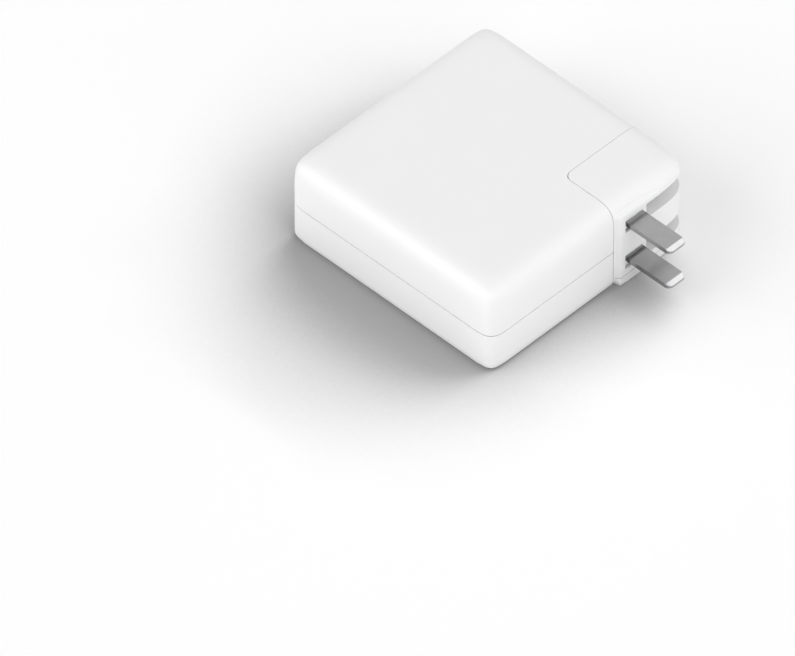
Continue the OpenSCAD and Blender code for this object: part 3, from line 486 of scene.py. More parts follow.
# %% [markdown]
# ## The corner block
# The removable corner continues the soft edges of the case, and its own outer corner is
# much rounder. Its front carries a pad that stands 1.2 mm proud, starts with a soft step
# beside the seam, and melts into the rounded corner.
# The pad could be a separate solid, but a step that fades needs one skin. So the softened
# block gets extra rows of points by bisecting it, and those points then move outwards by a
# smooth function of their height and their distance from the seam.

# %% Form of the corner block
PLUG = (19.0, 8.65)                # inner corner of the block
FLOOR_TOP = 3.25
PAD_RISE = 1.2
PAD_CREASE, PAD_RAMP = 25.4, 0.5   # the fold over the pad: its height, and how fast it rises
PAD_START, SIDE_RAMP = 0.2, 1.4    # the step beside the seam
FADE_START, FADE_LENGTH = 8.0, 11.0
ROUND_REACH = 8.5 * SAME_CORNER


def ease(t):
    """0 to 1 with soft ends."""
    t = min(max(t, 0.0), 1.0)
    return t * t * (3 - 2 * t)


def front_rise(y, z):
    """How far the front stands proud at a place: the pad, or its fade into the corner."""
    side = ease((y - PLUG[1] - PAD_START) / SIDE_RAMP)
    below = ease((PAD_CREASE - z) / PAD_RAMP)
    corner = ease((y - PLUG[1] - FADE_START) / FADE_LENGTH)
    above = ease((TOP - z) / (TOP - PAD_CREASE + PAD_RAMP))
    return PAD_RISE * max(side * below, corner * above)


def add_rows(obj, axis, values):
    """Cuts rows of edges across the mesh without removing anything."""
    open_mesh(obj)
    for value in values:
        bpy.ops.mesh.select_all(action="SELECT")
        place = [0, 0, 0]
        place["xyz".index(axis)] = value * MM
        normal = [float(c == axis) for c in "xyz"]
        bpy.ops.mesh.bisect(plane_co=place, plane_no=normal, threshold=1e-7)
    start_clean()


def raise_front(obj):
    """Pulls the front's points outwards to form the pad."""
    for point in obj.data.vertices:
        x, y, z = point.co / MM
        if x > HALF - ROUND_REACH - 0.1:
            point.co.x += front_rise(y, z) * MM
    obj.data.update()


def outer_top(ends):
    """A test for the upper edges on the two outer sides of the block."""
    return all_at("z", TOP)(ends) and (all_at("x", HALF)(ends) or all_at("y", HALF)(ends))


# Rows lie close together where the skin bends, and further apart where it is nearly flat.
rows_across = ([PLUG[1] + PAD_START + SIDE_RAMP * i / 12 for i in range(13)]
               + [12.9 + 1.3 * i for i in range(9)])
rows_up = ([22.6 + 0.3 * i for i in range(6)] + [24.4 + 0.1 * i for i in range(15)]
           + [26.2, 26.6, 27.0])

corner_plug = block("corner_plug", (*PLUG, FLOOR_TOP), (HALF, HALF, TOP))
soften(corner_plug, [(upright(*PLUG), BAY_CORNER)], PLAIN, CIRCLE)
soften(corner_plug, [(upright(HALF, HALF), ROUND_REACH), (outer_top, SHOULDER)], SMOOTH)
add_rows(corner_plug, "y", rows_across)
add_rows(corner_plug, "z", rows_up)
raise_front(corner_plug)
print("corner block, points:", len(corner_plug.data.vertices))

# %% [markdown]
# ## The slots
# Each blade folds into its own slot, which runs from the pad round the corner to the side.
# Behind the pad a slot widens into a pocket, where the head that holds the blade turns.
# Slots are open at two sides, so cutting a bar and a disc is simpler than extruding faces
# inwards. A small radius at their mouths draws the pale line along each slot.

# %% Slots, pockets and the inner hollow
PIVOT = (32.5, 15.8)
SLOTS = ((5.3, 10.4), (18.6, 23.7))          # from and to which height
SLOT_LEFT, SLOT_BACK = 11.757, 29.1
# Reach of a head from its pivot: the round back, the front, the right and left sides.
HEAD_ROUND, HEAD_FRONT, HEAD_SIDE, HEAD_LEFT, HEAD_CORNER = 4.9, 4.8, 5.3, 4.2, 1.0
TURN_ROOM, REAR_ROOM = 6.988, 5.55
JOURNAL, JOURNAL_ROOM, JOURNAL_LONG = 2.5, 2.56, 2.1
TURNED, BORED = 96, 64                       # sides of a large and of a small round part


def head(name, grow, low, high):
    """The plan of a turning head, round behind and flat in front, between two heights."""
    middle, tall = (low + high) / 2, high - low
    front = block("front", (PIVOT[0] - grow, PIVOT[1] - HEAD_LEFT - grow, low),
                  (PIVOT[0] + HEAD_FRONT + grow, PIVOT[1] + HEAD_SIDE + grow, high))
    soften(front, [(rising, HEAD_CORNER + grow)], 8, CIRCLE)
    fuse(front, rod("round", (*PIVOT, middle), HEAD_ROUND + grow, tall, sides=TURNED))
    front.name = name
    return front


def pocket(low, high):
    """The room that one head sweeps through as it turns."""
    middle, tall = (low + high) / 2, high - low
    sweep = rod("sweep", (*PIVOT, middle), TURN_ROOM, tall, sides=TURNED)
    cut(sweep, block("rear", (10, 0, low - 1), (PIVOT[0] - REAR_ROOM, 40, high + 1)),
        block("left", (10, 0, low - 1), (60, PIVOT[1] - HEAD_LEFT - 0.5, high + 1)))
    return fuse(sweep, rod("round", (*PIVOT, middle), REAR_ROOM, tall, sides=TURNED))


for low, high in SLOTS:
    slot_bar = block("slot", (SLOT_BACK, SLOT_LEFT, low), (45, 45, high))
    cut(corner_plug, fuse(slot_bar, pocket(low, high)))
# The rooms inside: for the drum, the contacts, the stud, its clip, the nose and the spring.
cut(corner_plug,
    head("way in", 0.2, FLOOR_TOP - 1, SLOTS[1][1]),
    rod("journal bore", (*PIVOT, SLOTS[1][1] + JOURNAL_LONG / 2 - 0.5), JOURNAL_ROOM,
        JOURNAL_LONG + 1, sides=BORED),
    block("hollow", (20.6, 13.0, FLOOR_TOP - 1), (27.0, 33.2, 24.5)),
    block("stud way", (18, 7.65, BLADE_MID - 2.1), (27.15, 11.9, BLADE_MID + 2.1)),
    block("clip room", (18, 9.9, BLADE_MID - 3.5), (27.55, 12.3, BLADE_MID + 3.5)),
    figure_eight("nose hole", 4.05, 18, 21.6),
    bar("spring window", 26, PIVOT[0], PIVOT[1], BLADE_MID, 2.5, 2.5))


# %% Breaking the block's edges
def on_form(p, front_x=HALF, least=0.98):
    """Whether a point lies on the block's outline, whose front may be elsewhere."""
    if p.y < HALF - ROUND_REACH:
        return p.x > front_x - TOUCH
    if p.x < front_x - ROUND_REACH:
        return p.y > HALF - TOUCH
    u = (p.x - front_x + ROUND_REACH) / ROUND_REACH
    v = (p.y - HALF + ROUND_REACH) / ROUND_REACH
    return max(u, 0) ** SQUARE + max(v, 0) ** SQUARE > least


def on_skin(p):
    """Whether a point lies on the block's outer skin, with its pad."""
    return on_form(p, HALF + front_rise(p.y, p.z), 0.97)


def slot_mouth(ends):
    """A test for the edges where a slot meets the skin."""
    return all(on_skin(p) and 5 < p.z < 24 for p in ends)


def plug_seam(ends):
    """A test for the block's edges along its seams."""
    outer = all(on_skin(p) or p.z > TOP - SHOULDER - 0.1 or p.z < TOUCH for p in ends)
    rim = in_gap(FLOOR_TOP)(ends) and all(on_skin(p) for p in ends)
    return rim or (along_walls(ends, PLUG) and outer)


print("mouth edges:", break_edges(corner_plug, 0.28, slot_mouth, 3))
print("seam edges:", break_edges(corner_plug, FINE, plug_seam))
shade(corner_plug)
declare(corner_plug, "plug", "white_case", "plug_shell")

# %% [markdown]
# ## The floor of the corner block
# A flat cover closes the block from below, after the turning drum has been put in. It follows
# the same outline, so it is made in the same way. A boss on it reaches up under the drum and
# holds its lower journal, and its foot widens beside the seam to meet that of the case.

# %% The floor and its boss
PAD_FOOT, PAD_FOOT_HIGH = 0.5, 0.65
SEAM_FOOT = (3.6, 2.8)     # reach of the foot beside the seam, inwards and upwards
SEAM_FOOT_LONG = 0.5
corner_floor = block("corner_floor", (*PLUG, 0), (HALF, HALF, FLOOR_TOP - GAP_HIGH))
soften(corner_floor, [(upright(*PLUG), BAY_CORNER)], PLAIN, CIRCLE)
soften(corner_floor, [(upright(HALF, HALF), ROUND_REACH)], SMOOTH)
shadow_gap(corner_floor, FLOOR_TOP - GAP_HIGH)


def foot_reach(ends):
    """The foot is small under the pad and grows round the corner to that of the case."""
    middle = (ends[0] + ends[1]) / 2
    turn = math.atan2(middle.y - HALF + ROUND_REACH, middle.x - HALF + ROUND_REACH)
    share = ease(turn / QUARTER) if middle.x > HALF - ROUND_REACH else 1.0
    if middle.y < HALF - ROUND_REACH:
        share = 0.0
    return PAD_FOOT + (FOOT - PAD_FOOT) * share


def round_foot(obj):
    """Swells the pad's small foot to that of the case where the pad steps back."""
    for point in obj.data.vertices:
        x, y, z = point.co / MM
        low, outer = z < PAD_FOOT_HIGH + NEAR, x > HALF - PAD_FOOT - NEAR
        if low and outer and y < HALF - ROUND_REACH:
            left = 1 - ease((y - PLUG[1] - SEAM_FOOT_LONG) / SIDE_RAMP)
            point.co.x = (HALF + (x - HALF) * (1 + (SEAM_FOOT[0] / PAD_FOOT - 1) * left)) * MM
            point.co.z = z * (1 + (SEAM_FOOT[1] / PAD_FOOT_HIGH - 1) * left) * MM
    obj.data.update()


def foot_edge(ends):
    """A test for the lower edge round the front, the corner and the side."""
    return all(p.z < NEAR and on_form(p) for p in ends)


soften(corner_floor, [(foot_edge, foot_reach)], 8, CIRCLE)
add_rows(corner_floor, "y", rows_across)
round_foot(corner_floor)
raise_front(corner_floor)
BOSS_TOP = SLOTS[0][0] - 0.05
fuse(corner_floor, head("boss", 0.1, FLOOR_TOP - 1, BOSS_TOP))
cut(corner_floor, rod("journal bore", (*PIVOT, BOSS_TOP - JOURNAL_LONG / 2 + 0.5), JOURNAL_ROOM,
                      JOURNAL_LONG + 1, sides=BORED))
print("seam edges:", break_edges(corner_floor, FINE, plug_seam))
shade(corner_floor)
declare(corner_floor, "plug", "white_case", "plug_cover")

# %% [markdown]
# ## The turning drum
# Both blades sit in one moulded part: two square-fronted heads on a round drum, with a
# journal at each end. It turns a quarter turn, and a spring drops into a notch at each end.
# It is a union of the same plan at several heights. Lathing it would be shorter, but the
# heads aren't round.

# %% Drum, heads and journals
DRUM = 4.65
SLACK = 0.15              # room between a head and its slot
BLADES_Z = (8.15, 20.85)
BLADE_WIDE, BLADE_THICK = 6.3, 1.5
ROOT, TAIL = 3.4, 2.4     # how far a blade reaches behind the pivot, and its tail's width
NOTCH = 0.8
root_x = PIVOT[0] - ROOT
low_end, high_end = SLOTS[0][0] + SLACK, SLOTS[1][1] - SLACK
# The drum ends inside the heads, because faces that lie in one plane confuse a Boolean.
drum = rod("blade_drum", (*PIVOT, BLADE_MID), DRUM, high_end - low_end - 4, sides=TURNED)
fuse(drum, *[head("head", 0, low + SLACK, high - SLACK) for low, high in SLOTS],
     rod("journals", (*PIVOT, (low_end + high_end) / 2), JOURNAL,
         high_end - low_end + 2 * JOURNAL_LONG, sides=BORED))
for z in BLADES_Z:
    cut(drum,
        bar("blade way", root_x, PIVOT[0] + 8, PIVOT[1], z, BLADE_WIDE, BLADE_THICK),
        bar("tail way", PIVOT[0] - 8, PIVOT[0], PIVOT[1], z, TAIL, BLADE_THICK))
for dx, dy in ((0, DRUM), (-DRUM, 0)):
    cut(drum, rod("notch", (PIVOT[0] + dx, PIVOT[1] + dy, BLADE_MID), NOTCH * 0.7, 2 + NOTCH,
                  sides=4))


def head_front(ends):
    """A test for the level edges of the heads' flat fronts."""
    proud = all(p.x > PIVOT[0] + DRUM - 1 for p in ends)
    return proud and any(all_at("z", z)(ends) for low, high in SLOTS
                         for z in (low + SLACK, high - SLACK))


print("head edges:", break_edges(drum, 0.15, head_front, 2, 60))
shade(drum)
declare(drum, "blades", "white_carrier", "blade_carrier")

# %% [markdown]
# ## The blades
# A blade is stamped from flat strip: round corners at the tip, a long bevel on both faces so
# that it finds the outlet, and all edges slightly broken. The tip's bevels are flat, so they
# are made with two slanted bisecting cuts that fill the opening, not with a bevel, which
# would follow the round corners.

# %% One blade, then its twin
TIP_X = 53.45
TIP_BEVEL, TIP_EDGE = 1.6, 0.3      # length of the bevels, and half the thickness they leave
TIP_ROUND = 1.5


def make_blade(name, z):
    """A flat blade whose middle lies at height z."""
    half_thick = BLADE_THICK / 2
    blade = bar(name, root_x, TIP_X, PIVOT[1], z, BLADE_WIDE, BLADE_THICK)
    tip_edges = lambda ends: all(p.x > TIP_X - NEAR for p in ends) and rising(ends)
    soften(blade, [(tip_edges, TIP_ROUND)], PLAIN, CIRCLE)
    slope = math.atan2(half_thick - TIP_EDGE, TIP_BEVEL)
    for side in (-1, 1):
        open_mesh(blade)
        bpy.ops.mesh.select_all(action="SELECT")
        bpy.ops.mesh.bisect(
            plane_co=((TIP_X - TIP_BEVEL) * MM, PIVOT[1] * MM, (z + side * half_thick) * MM),
            plane_no=(math.sin(slope), 0, side * math.cos(slope)),
            clear_outer=True, use_fill=True, threshold=1e-7)
        start_clean()
    # The tail is drawn out of the root's face, which is first made narrower.
    pick(blade, "FACE", lambda face, corners: all(p.x < root_x + NEAR for p in corners))
    draw_out(0, 0, 0)
    bpy.ops.transform.resize(value=(1, TAIL / BLADE_WIDE, 1),
                             center_override=(root_x * MM, PIVOT[1] * MM, z * MM))
    tail_x = PIVOT[0] - math.sqrt(HEAD_SIDE ** 2 - (TAIL / 2) ** 2)
    draw_out(tail_x - root_x, 0, 0)
    bpy.ops.mesh.select_all(action="SELECT")
    bpy.ops.mesh.remove_doubles(threshold=1e-7)
    bpy.ops.mesh.normals_make_consistent(inside=False)
    start_clean()
    break_edges(blade, 0.1, lambda ends: all(p.x > PIVOT[0] for p in ends), 2, 12)
    return shade(blade, 20)


for name, z, node in (("blade_high", BLADES_Z[1], "upper_blade"),
                      ("blade_low", BLADES_Z[0], "lower_blade")):
    blade = make_blade(name, z)
    declare(blade, "blades", "blade_steel", node)

# %% [markdown]
# ## The USB-C port
# The port is a drawn metal sleeve with a thin tongue inside, and twelve contacts lie on each
# face of the tongue. One contact is modelled, and its copies are set 0.5 mm apart, each with
# a mesh of its own. An array modifier would do in one row, but the lower row is turned over.

# %% Sleeve, tongue and contacts
PORT_X, PORT_LONG = -36.5, 7.3
PORT_WIDE, PORT_HIGH, PORT_WALL = 8.94, 3.26, 0.3
TONGUE_WIDE, TONGUE_THICK, TONGUE_START, TONGUE_BASE = 6.69, 0.7, 0.9, 2.0
CONTACT = (3.2, 0.26, 0.08)
CONTACT_STEP = 0.5
port_end = PORT_X + PORT_LONG

sleeve = port_bar("port_sleeve", PORT_WIDE, PORT_HIGH, PORT_X, port_end, 16)
cut(sleeve, port_bar("opening", PORT_WIDE - 2 * PORT_WALL, PORT_HIGH - 2 * PORT_WALL,
                     PORT_X - 1, port_end + 1, 16))
print("rim edges:", break_edges(sleeve, 0.1, all_at("x", PORT_X), 3))

free = 2 * PORT_WALL + 0.04
tongue = bar("port_tongue", PORT_X + TONGUE_START, port_end - 1, 0, MID, TONGUE_WIDE,
             TONGUE_THICK)
soften(tongue, [(all_at("x", PORT_X + TONGUE_START), 0.2)], 4, CIRCLE)
fuse(tongue, port_bar("base", PORT_WIDE - free, PORT_HIGH - free, port_end - TONGUE_BASE,
                      port_end, 16))


def twin(obj, offset, turn=(0, 0, 0)):
    """Copies an object to a place in mm from its own, with a mesh of its own."""
    copy = obj.copy()
    copy.data = obj.data.copy()
    bpy.context.collection.objects.link(copy)
    copy.location = Vector(offset) * MM
    copy.rotation_euler = turn
    settle(copy)
    return copy


start_x = PORT_X + TONGUE_START + 0.5
contact_low = MID + TONGUE_THICK / 2
contact = bar("contact", start_x, start_x + CONTACT[0], -5.5 * CONTACT_STEP,
              contact_low + CONTACT[2] / 2, *CONTACT[1:])
break_edges(contact, 0.03, all_at("z", contact_low + CONTACT[2]))
contacts = []
for first, step in ((contact, CONTACT_STEP),
                    (twin(contact, (0, 0, 2 * MID), (math.pi, 0, 0)), -CONTACT_STEP)):
    contacts += [first] + [twin(first, (0, i * step, 0)) for i in range(1, 12)]
port_pads = join("port_pads", *contacts)
for piece, slot, node in ((sleeve, "port_steel", "usb_port_shell"),
                          (tongue, "tongue_plastic", "usb_port_tongue"),
                          (port_pads, "contact_gold", "usb_port_contacts")):
    shade(piece)
    declare(piece, "housing", slot, node)

# %% [markdown]
# ## Behind the corner block
# When the block is pulled off, four parts come into view: the round stud that holds it, the
# recessed inlet with its two pins, and the nose of the block that fits over them. Parts that
# slide get a lead-in, here a rounded cap and domed pins, so that nothing catches.

# %% Stud, inlet, pins and nose
STUD_HEAD, STUD_FLANGE = 2.8, 3.2
wall_y = BAY[1] - WALL
cap_low, cap_high = BAY[1] + 1.7, BAY[1] + 3.1
stud = rod("stud", (STUD_X, wall_y - 0.65, BLADE_MID), STUD_FLANGE, 1.3, "y")
cap = rod("cap", (STUD_X, (cap_low + cap_high) / 2, BLADE_MID), STUD_HEAD, cap_high - cap_low, "y")
print("cap edges:", break_edges(cap, 0.45, all_at("y", cap_high), 6))
print("cap edges:", break_edges(cap, 0.12, all_at("y", cap_low), 3))
neck = rod("neck", (STUD_X, (wall_y - 1 + cap_low + 0.5) / 2, BLADE_MID), STUD_NECK,
           cap_low + 0.5 - wall_y + 1, "y")
fuse(stud, neck, cap)

PIN = 1.2
CUP_BACK, CUP_END, CUP_OPEN = 6.5, 8.4, 16.65
PIN_START, PIN_TIP = 4.9, 15.45
cup = bar("inlet_cup", CUP_BACK, CUP_OPEN, INLET_Y, BLADE_MID, 20.8, 12.2)
cut(cup, figure_eight("recess", INLET_HOLE, CUP_END, CUP_OPEN + 1))
pins = []
for y in PIN_ROWS:
    cut(cup, rod("pin hole", (CUP_BACK, y, BLADE_MID), PIN, 6, "x"))
    pin = rod("pin", ((PIN_START + PIN_TIP) / 2, y, BLADE_MID), PIN, PIN_TIP - PIN_START, "x")
    break_edges(pin, 0.7, all_at("x", PIN_TIP), 8)
    pins.append(pin)
inlet_pins = join("inlet_pair", *pins)

NOSE, NOSE_TIP, NOSE_END, FLANGE_START = 3.9, 9.4, 22.2, 20.6
nose = bar("nose", FLANGE_START, NOSE_END, INLET_Y, BLADE_MID, 19.2, 9.8)
fuse(nose, figure_eight("muzzle", NOSE, NOSE_TIP, NOSE_END - 0.3))
print("nose rim:", break_edges(nose, 0.35, all_at("x", NOSE_TIP), 4))
cut(nose, *[rod("contact way", (15, y, BLADE_MID), 1.6, 20, "x") for y in PIN_ROWS])
print("way rims:", break_edges(nose, 0.12, all_at("x", NOSE_TIP), 2))
for piece, body, slot, node in ((stud, "housing", "stud_steel", "mounting_stud"),
                                (cup, "housing", "socket_plastic", "inlet_socket"),
                                (inlet_pins, "housing", "pin_nickel", "inlet_pins"),
                                (nose, "plug", "socket_plastic", "plug_nose")):
    shade(piece)
    declare(piece, body, slot, node)

# %% [markdown]
# ## Finishes
# A finish is a small tree of shader nodes. Three kinds cover this object: moulded plastic,
# worked metal and wound or printed parts. Each is a function, so a new colour takes a line.
# The patterns read Object coordinates. They are in metres, so a texture scale of 1000 gives
# features about 1 mm across, and the pattern stays on a piece when its joint moves.

# %% Node helpers
FINISHES = {}


def add_node(tree, kind, **values):
    """Adds a node and sets its constant inputs; _ stands for a space in an input's name."""
    node = tree.nodes.new("ShaderNode" + kind)
    for name, value in values.items():
        node.inputs[name.replace("_", " ")].default_value = value
    return node


def new_finish(name, roughness, metallic=0.0, ior=1.5):
    """An empty finish with its shader's constant values set, and a way to add nodes."""
    material = bpy.data.materials.new(name)
    material.use_nodes = True
    tree = material.node_tree
    shader = tree.nodes["Principled BSDF"]
    shader.inputs["Roughness"].default_value = roughness
    shader.inputs["Metallic"].default_value = metallic
    shader.inputs["IOR"].default_value = ior
    FINISHES[name] = material
    return tree, shader


def place_on_piece(tree, stretch=(1, 1, 1)):
    """Object coordinates; a small number stretches a pattern along that axis."""
    mapping = add_node(tree, "Mapping", Scale=stretch)
    tree.links.new(add_node(tree, "TexCoord").outputs["Object"], mapping.inputs["Vector"])
    return mapping.outputs["Vector"]


def noise(tree, where, per_mm, detail=3.0, roughness=0.5):
    """A cloudy pattern with about this many features in each millimetre."""
    node = add_node(tree, "TexNoise", Scale=per_mm / MM, Detail=detail, Roughness=roughness)
    tree.links.new(where, node.inputs["Vector"])
    return node.outputs["Fac"]


def uneven_gloss(tree, source, low, high, shader):
    """Lets a pattern vary the roughness between two values."""
    node = add_node(tree, "MapRange", From_Min=0.3, From_Max=0.7, To_Min=low, To_Max=high)
    tree.links.new(source, node.inputs["Value"])
    tree.links.new(node.outputs["Result"], shader.inputs["Roughness"])


def tint(tree, source, stops, socket=None):
    """Colours a pattern, for the base colour by default: stops lists places with colours."""
    socket = socket or tree.nodes["Principled BSDF"].inputs["Base Color"]
    ramp = add_node(tree, "ValToRGB")
    points = ramp.color_ramp.elements
    while len(points) < len(stops):
        points.new(0.5)
    for point, (position, colour) in zip(points, stops):
        point.position = position
        point.color = (*colour, 1)
    tree.links.new(source, ramp.inputs["Fac"])
    tree.links.new(ramp.outputs["Color"], socket)


def relief(tree, shader, source, height, strength=0.5):
    """Raises a pattern by about this height in mm."""
    node = add_node(tree, "Bump", Distance=height * MM, Strength=strength)
    tree.links.new(source, node.inputs["Height"])
    tree.links.new(node.outputs["Normal"], shader.inputs["Normal"])


def shades(colour, amount):
    """A colour made a little darker and a little lighter."""
    return [tuple(min(c * (1 + amount * side), 1) for c in colour) for side in (-1, 1)]


# %% [markdown]
# ## White plastic
# The case is polycarbonate from a polished mould. It is nearly mirror smooth, yet three
# things keep it from looking like paint: a faint cloudiness of the pigment, a gloss that
# varies with the mould's polish and with handling, and a ripple of a few thousandths of a
# millimetre. All three are noise at very different scales, and each one is barely visible.

# %% Moulded plastic
def moulded(name, colour, roughness, cloud, gloss=0.05, grain=0.004, per_mm=3.0, ior=1.5,
            fine=4):
    """Plastic with a faint cloud in its colour, an uneven gloss and a fine grain."""
    tree, shader = new_finish(name, roughness, ior=ior)
    where = place_on_piece(tree)
    dark, light = shades(colour, cloud)
    tint(tree, noise(tree, where, 0.08), [(0.3, dark), (0.7, light)])
    uneven_gloss(tree, noise(tree, where, 0.4, 6, 0.65), roughness - gloss, roughness + gloss,
                 shader)
    relief(tree, shader, noise(tree, where, per_mm, fine), grain, 0.4)


moulded("white_case", (0.85, 0.85, 0.85), 0.48, cloud=0.004, gloss=0.015, grain=0.003,
        per_mm=0.2, ior=1.52, fine=1)
# Painted shade: a darker white, also a little rougher, for the faces inside the slots and the
# cover's seam step.
moulded("inner_white_painted_shade", (0.72, 0.72, 0.72), 0.5, cloud=0.01, grain=0.002)
# Painted shade: dark grey on the step of the case's seam.
moulded("seam_step_painted_shade", (0.2, 0.2, 0.2), 0.6, cloud=0.02, grain=0.002)
moulded("white_carrier", (0.86, 0.86, 0.86), 0.38, cloud=0.006, grain=0.002)
moulded("socket_plastic", (0.82, 0.82, 0.815), 0.45, cloud=0.02)
moulded("tongue_plastic", (0.10, 0.10, 0.105), 0.4, cloud=0.1)
moulded("bobbin_plastic", (0.80, 0.76, 0.64), 0.5, cloud=0.04)
moulded("component_black", (0.04, 0.04, 0.042), 0.55, cloud=0.25, grain=0.008, per_mm=12)
moulded("capacitor_yellow", (0.82, 0.66, 0.18), 0.32, cloud=0.05)
moulded("capacitor_sleeve", (0.05, 0.07, 0.16), 0.28, cloud=0.2, grain=0.02, per_mm=0.8)
moulded("disc_blue", (0.08, 0.17, 0.42), 0.22, cloud=0.12, grain=0.03, per_mm=0.9)
moulded("fuse_ceramic", (0.80, 0.74, 0.60), 0.6, cloud=0.05, grain=0.006, per_mm=8)
moulded("pad_grey", (0.42, 0.44, 0.47), 0.85, cloud=0.12, grain=0.03, per_mm=4)
print("plastics:", len(FINISHES))

# %% [markdown]
# ## Metal
# Strip metal is rolled, and a blade is then brushed along its length and plated, so its fine
# scratches run one way. A noise pattern squeezed along one axis and drawn out along the
# other gives such lines. They steer the roughness and a very low relief, which spreads each
# highlight across the grain as on the real part.

# %% Worked metal
def worked_metal(name, colour, roughness, along, lines, depth=0.0015, wear=0.06, rough=0.09):
    """Metal with fine lines along one axis, and cloudy handling marks."""
    tree, shader = new_finish(name, roughness, metallic=1.0)
    stretch = [1.0, 1.0, 1.0]
    stretch["xyz".index(along)] = 0.03
    fine = noise(tree, place_on_piece(tree, stretch), lines, 4, 0.7)
    marks = noise(tree, place_on_piece(tree), 0.35, 5, 0.6)
    dark, light = shades(colour, wear)
    tint(tree, marks, [(0.3, dark), (0.7, light)])
    uneven_gloss(tree, fine, roughness - rough, roughness + rough, shader)
    relief(tree, shader, fine, depth)


# The tip metal is lighter than the blade's, as a painted highlight on the bevels.
for name, grey in (("blade_steel", 0.35), ("tip_steel_painted_highlight", 0.5)):
    worked_metal(name, (grey, grey, grey + 0.005), 0.24, "x", 9, 0.0004, wear=0.03, rough=0.04)
worked_metal("port_steel", (0.66, 0.66, 0.67), 0.28, "x", 10)
worked_metal("stud_steel", (0.70, 0.70, 0.71), 0.26, "z", 8)
worked_metal("pin_nickel", (0.70, 0.69, 0.66), 0.24, "x", 10)
worked_metal("clip_steel", (0.60, 0.60, 0.61), 0.33, "z", 10)
worked_metal("contact_brass", (0.74, 0.56, 0.28), 0.3, "x", 10)
worked_metal("contact_gold", (0.80, 0.62, 0.27), 0.24, "x", 12)
worked_metal("capacitor_can", (0.72, 0.72, 0.73), 0.34, "z", 6)
worked_metal("heat_sink", (0.66, 0.66, 0.68), 0.42, "y", 5, 0.004)
print("with metals:", len(FINISHES))

# %% [markdown]
# ## Boards, cores, windings and film
# These sit inside and are seen only when the case is opened, but a library part should
# survive that. A board is green solder mask over copper tracks, a ferrite core is fired
# powder with bright specks, a winding is rows of varnished wire, and film shows its wraps.

# %% Wound and printed parts
def striped(name, colours, roughness, per_mm, axis="Z", metallic=0.0, height=0.05):
    """Rows of wire or wraps of film, as bands across one axis."""
    tree, shader = new_finish(name, roughness, metallic)
    where = place_on_piece(tree)
    bands = add_node(tree, "TexWave", Scale=per_mm / MM / math.tau, Distortion=0.4)
    bands.bands_direction = axis
    tree.links.new(where, bands.inputs["Vector"])
    tint(tree, bands.outputs["Fac"], [(0.1, colours[0]), (0.6, colours[1])])
    uneven_gloss(tree, noise(tree, where, 1.2), roughness - 0.06, roughness + 0.08, shader)
    relief(tree, shader, bands.outputs["Fac"], height)


striped("copper_wire", [(0.30, 0.12, 0.05), (0.72, 0.38, 0.18)], 0.3, 8, metallic=0.9)
striped("tape_yellow", [(0.66, 0.48, 0.10), (0.84, 0.66, 0.18)], 0.25, 1.2, height=0.02)
striped("film_amber", [(0.52, 0.26, 0.05), (0.72, 0.40, 0.10)], 0.2, 0.25, "X", height=0.01)

tree, shader = new_finish("board_green", 0.35)
tracks = add_node(tree, "TexBrick", Scale=300, Mortar_Size=0.06)
where = place_on_piece(tree)
tree.links.new(where, tracks.inputs["Vector"])
tint(tree, tracks.outputs["Fac"], [(0.3, (0.03, 0.16, 0.06)), (0.7, (0.06, 0.26, 0.10))])
uneven_gloss(tree, noise(tree, where, 2), 0.28, 0.42, shader)
relief(tree, shader, tracks.outputs["Fac"], 0.03)

tree, shader = new_finish("ferrite", 0.5)
where = place_on_piece(tree)
tint(tree, noise(tree, where, 6, 6, 0.8),
     [(0.35, (0.06, 0.06, 0.062)), (0.62, (0.10, 0.10, 0.102)), (0.78, (0.24, 0.24, 0.25))])
uneven_gloss(tree, noise(tree, where, 3), 0.4, 0.65, shader)
relief(tree, shader, noise(tree, where, 5, 6, 0.7), 0.012)
print("all finishes:", len(FINISHES))

# %% [markdown]
# ## Dressing every solid
# The record names a finish slot for each solid. A loop gives the solids that keep their own
# shape the finish of their slot, and gives each new piece the finish of the slot that it
# declared. The meshes of the frame stay as they are: only their material slots change.

# %% Give the finishes out
slots = {part["node"]: part["material_slot"] for part in frame["record"]["subparts"]}


def dress(obj, slot):
    """Puts one finish on all of an object's faces."""
    obj.data.materials.clear()
    obj.data.materials.append(FINISHES[slot])


print("slots without a finish:", sorted(set(slots.values()) - set(FINISHES)))
for name, slot in slots.items():
    dress(frame["nodes"][name], slot)
for name, slot in PIECES.items():
    dress(bpy.data.objects[name], slot)
print("solids dressed:", len(slots), "new pieces dressed:", len(PIECES))

# %% [markdown]
# ## Painted shade in the slots and seams, painted highlights on the tips
# Only the outside of a mould is polished. The slots keep the dull skin of the milled tool,
# so they are a little rougher, and their colour is also painted darker as shade. The block is one
# piece, so the faces inside it get a second
# finish: those that don't lie on the skin. The step in a seam is painted dark grey as shade, and a
# blade's bevels get a lighter metal as a painted highlight, so their faces are chosen by place in
# the same way.

# %% A second finish on chosen faces
def second_finish(piece, name, test):
    """Gives the faces that pass a test on their corners, in mm, another finish."""
    piece.data.materials.append(FINISHES[name])
    found = 0
    for face in piece.data.polygons:
        if test([piece.data.vertices[i].co / MM for i in face.vertices]):
            face.material_index = 1
            found += 1
    print(piece.name, "faces with", name + ":", found)


def within_block(points):
    """A test for faces in the slots and the hollow."""
    on_outside = all(on_skin(p) or p.z > TOP - SHOULDER for p in points)
    return not on_outside and min(p.z for p in points) > FLOOR_TOP + 0.1


def tip_bevel(points):
    """A test for a blade's two slanted faces at the tip, each on one side of its middle."""
    heights = [p.z - min(BLADES_Z, key=lambda z: abs(z - p.z)) for p in points]
    sloping = max(heights) - min(heights) > 0.2
    one_side = all(h > 0 for h in heights) or all(h < 0 for h in heights)
    return sloping and one_side and all(p.x > TIP_X - TIP_BEVEL - NEAR for p in points)


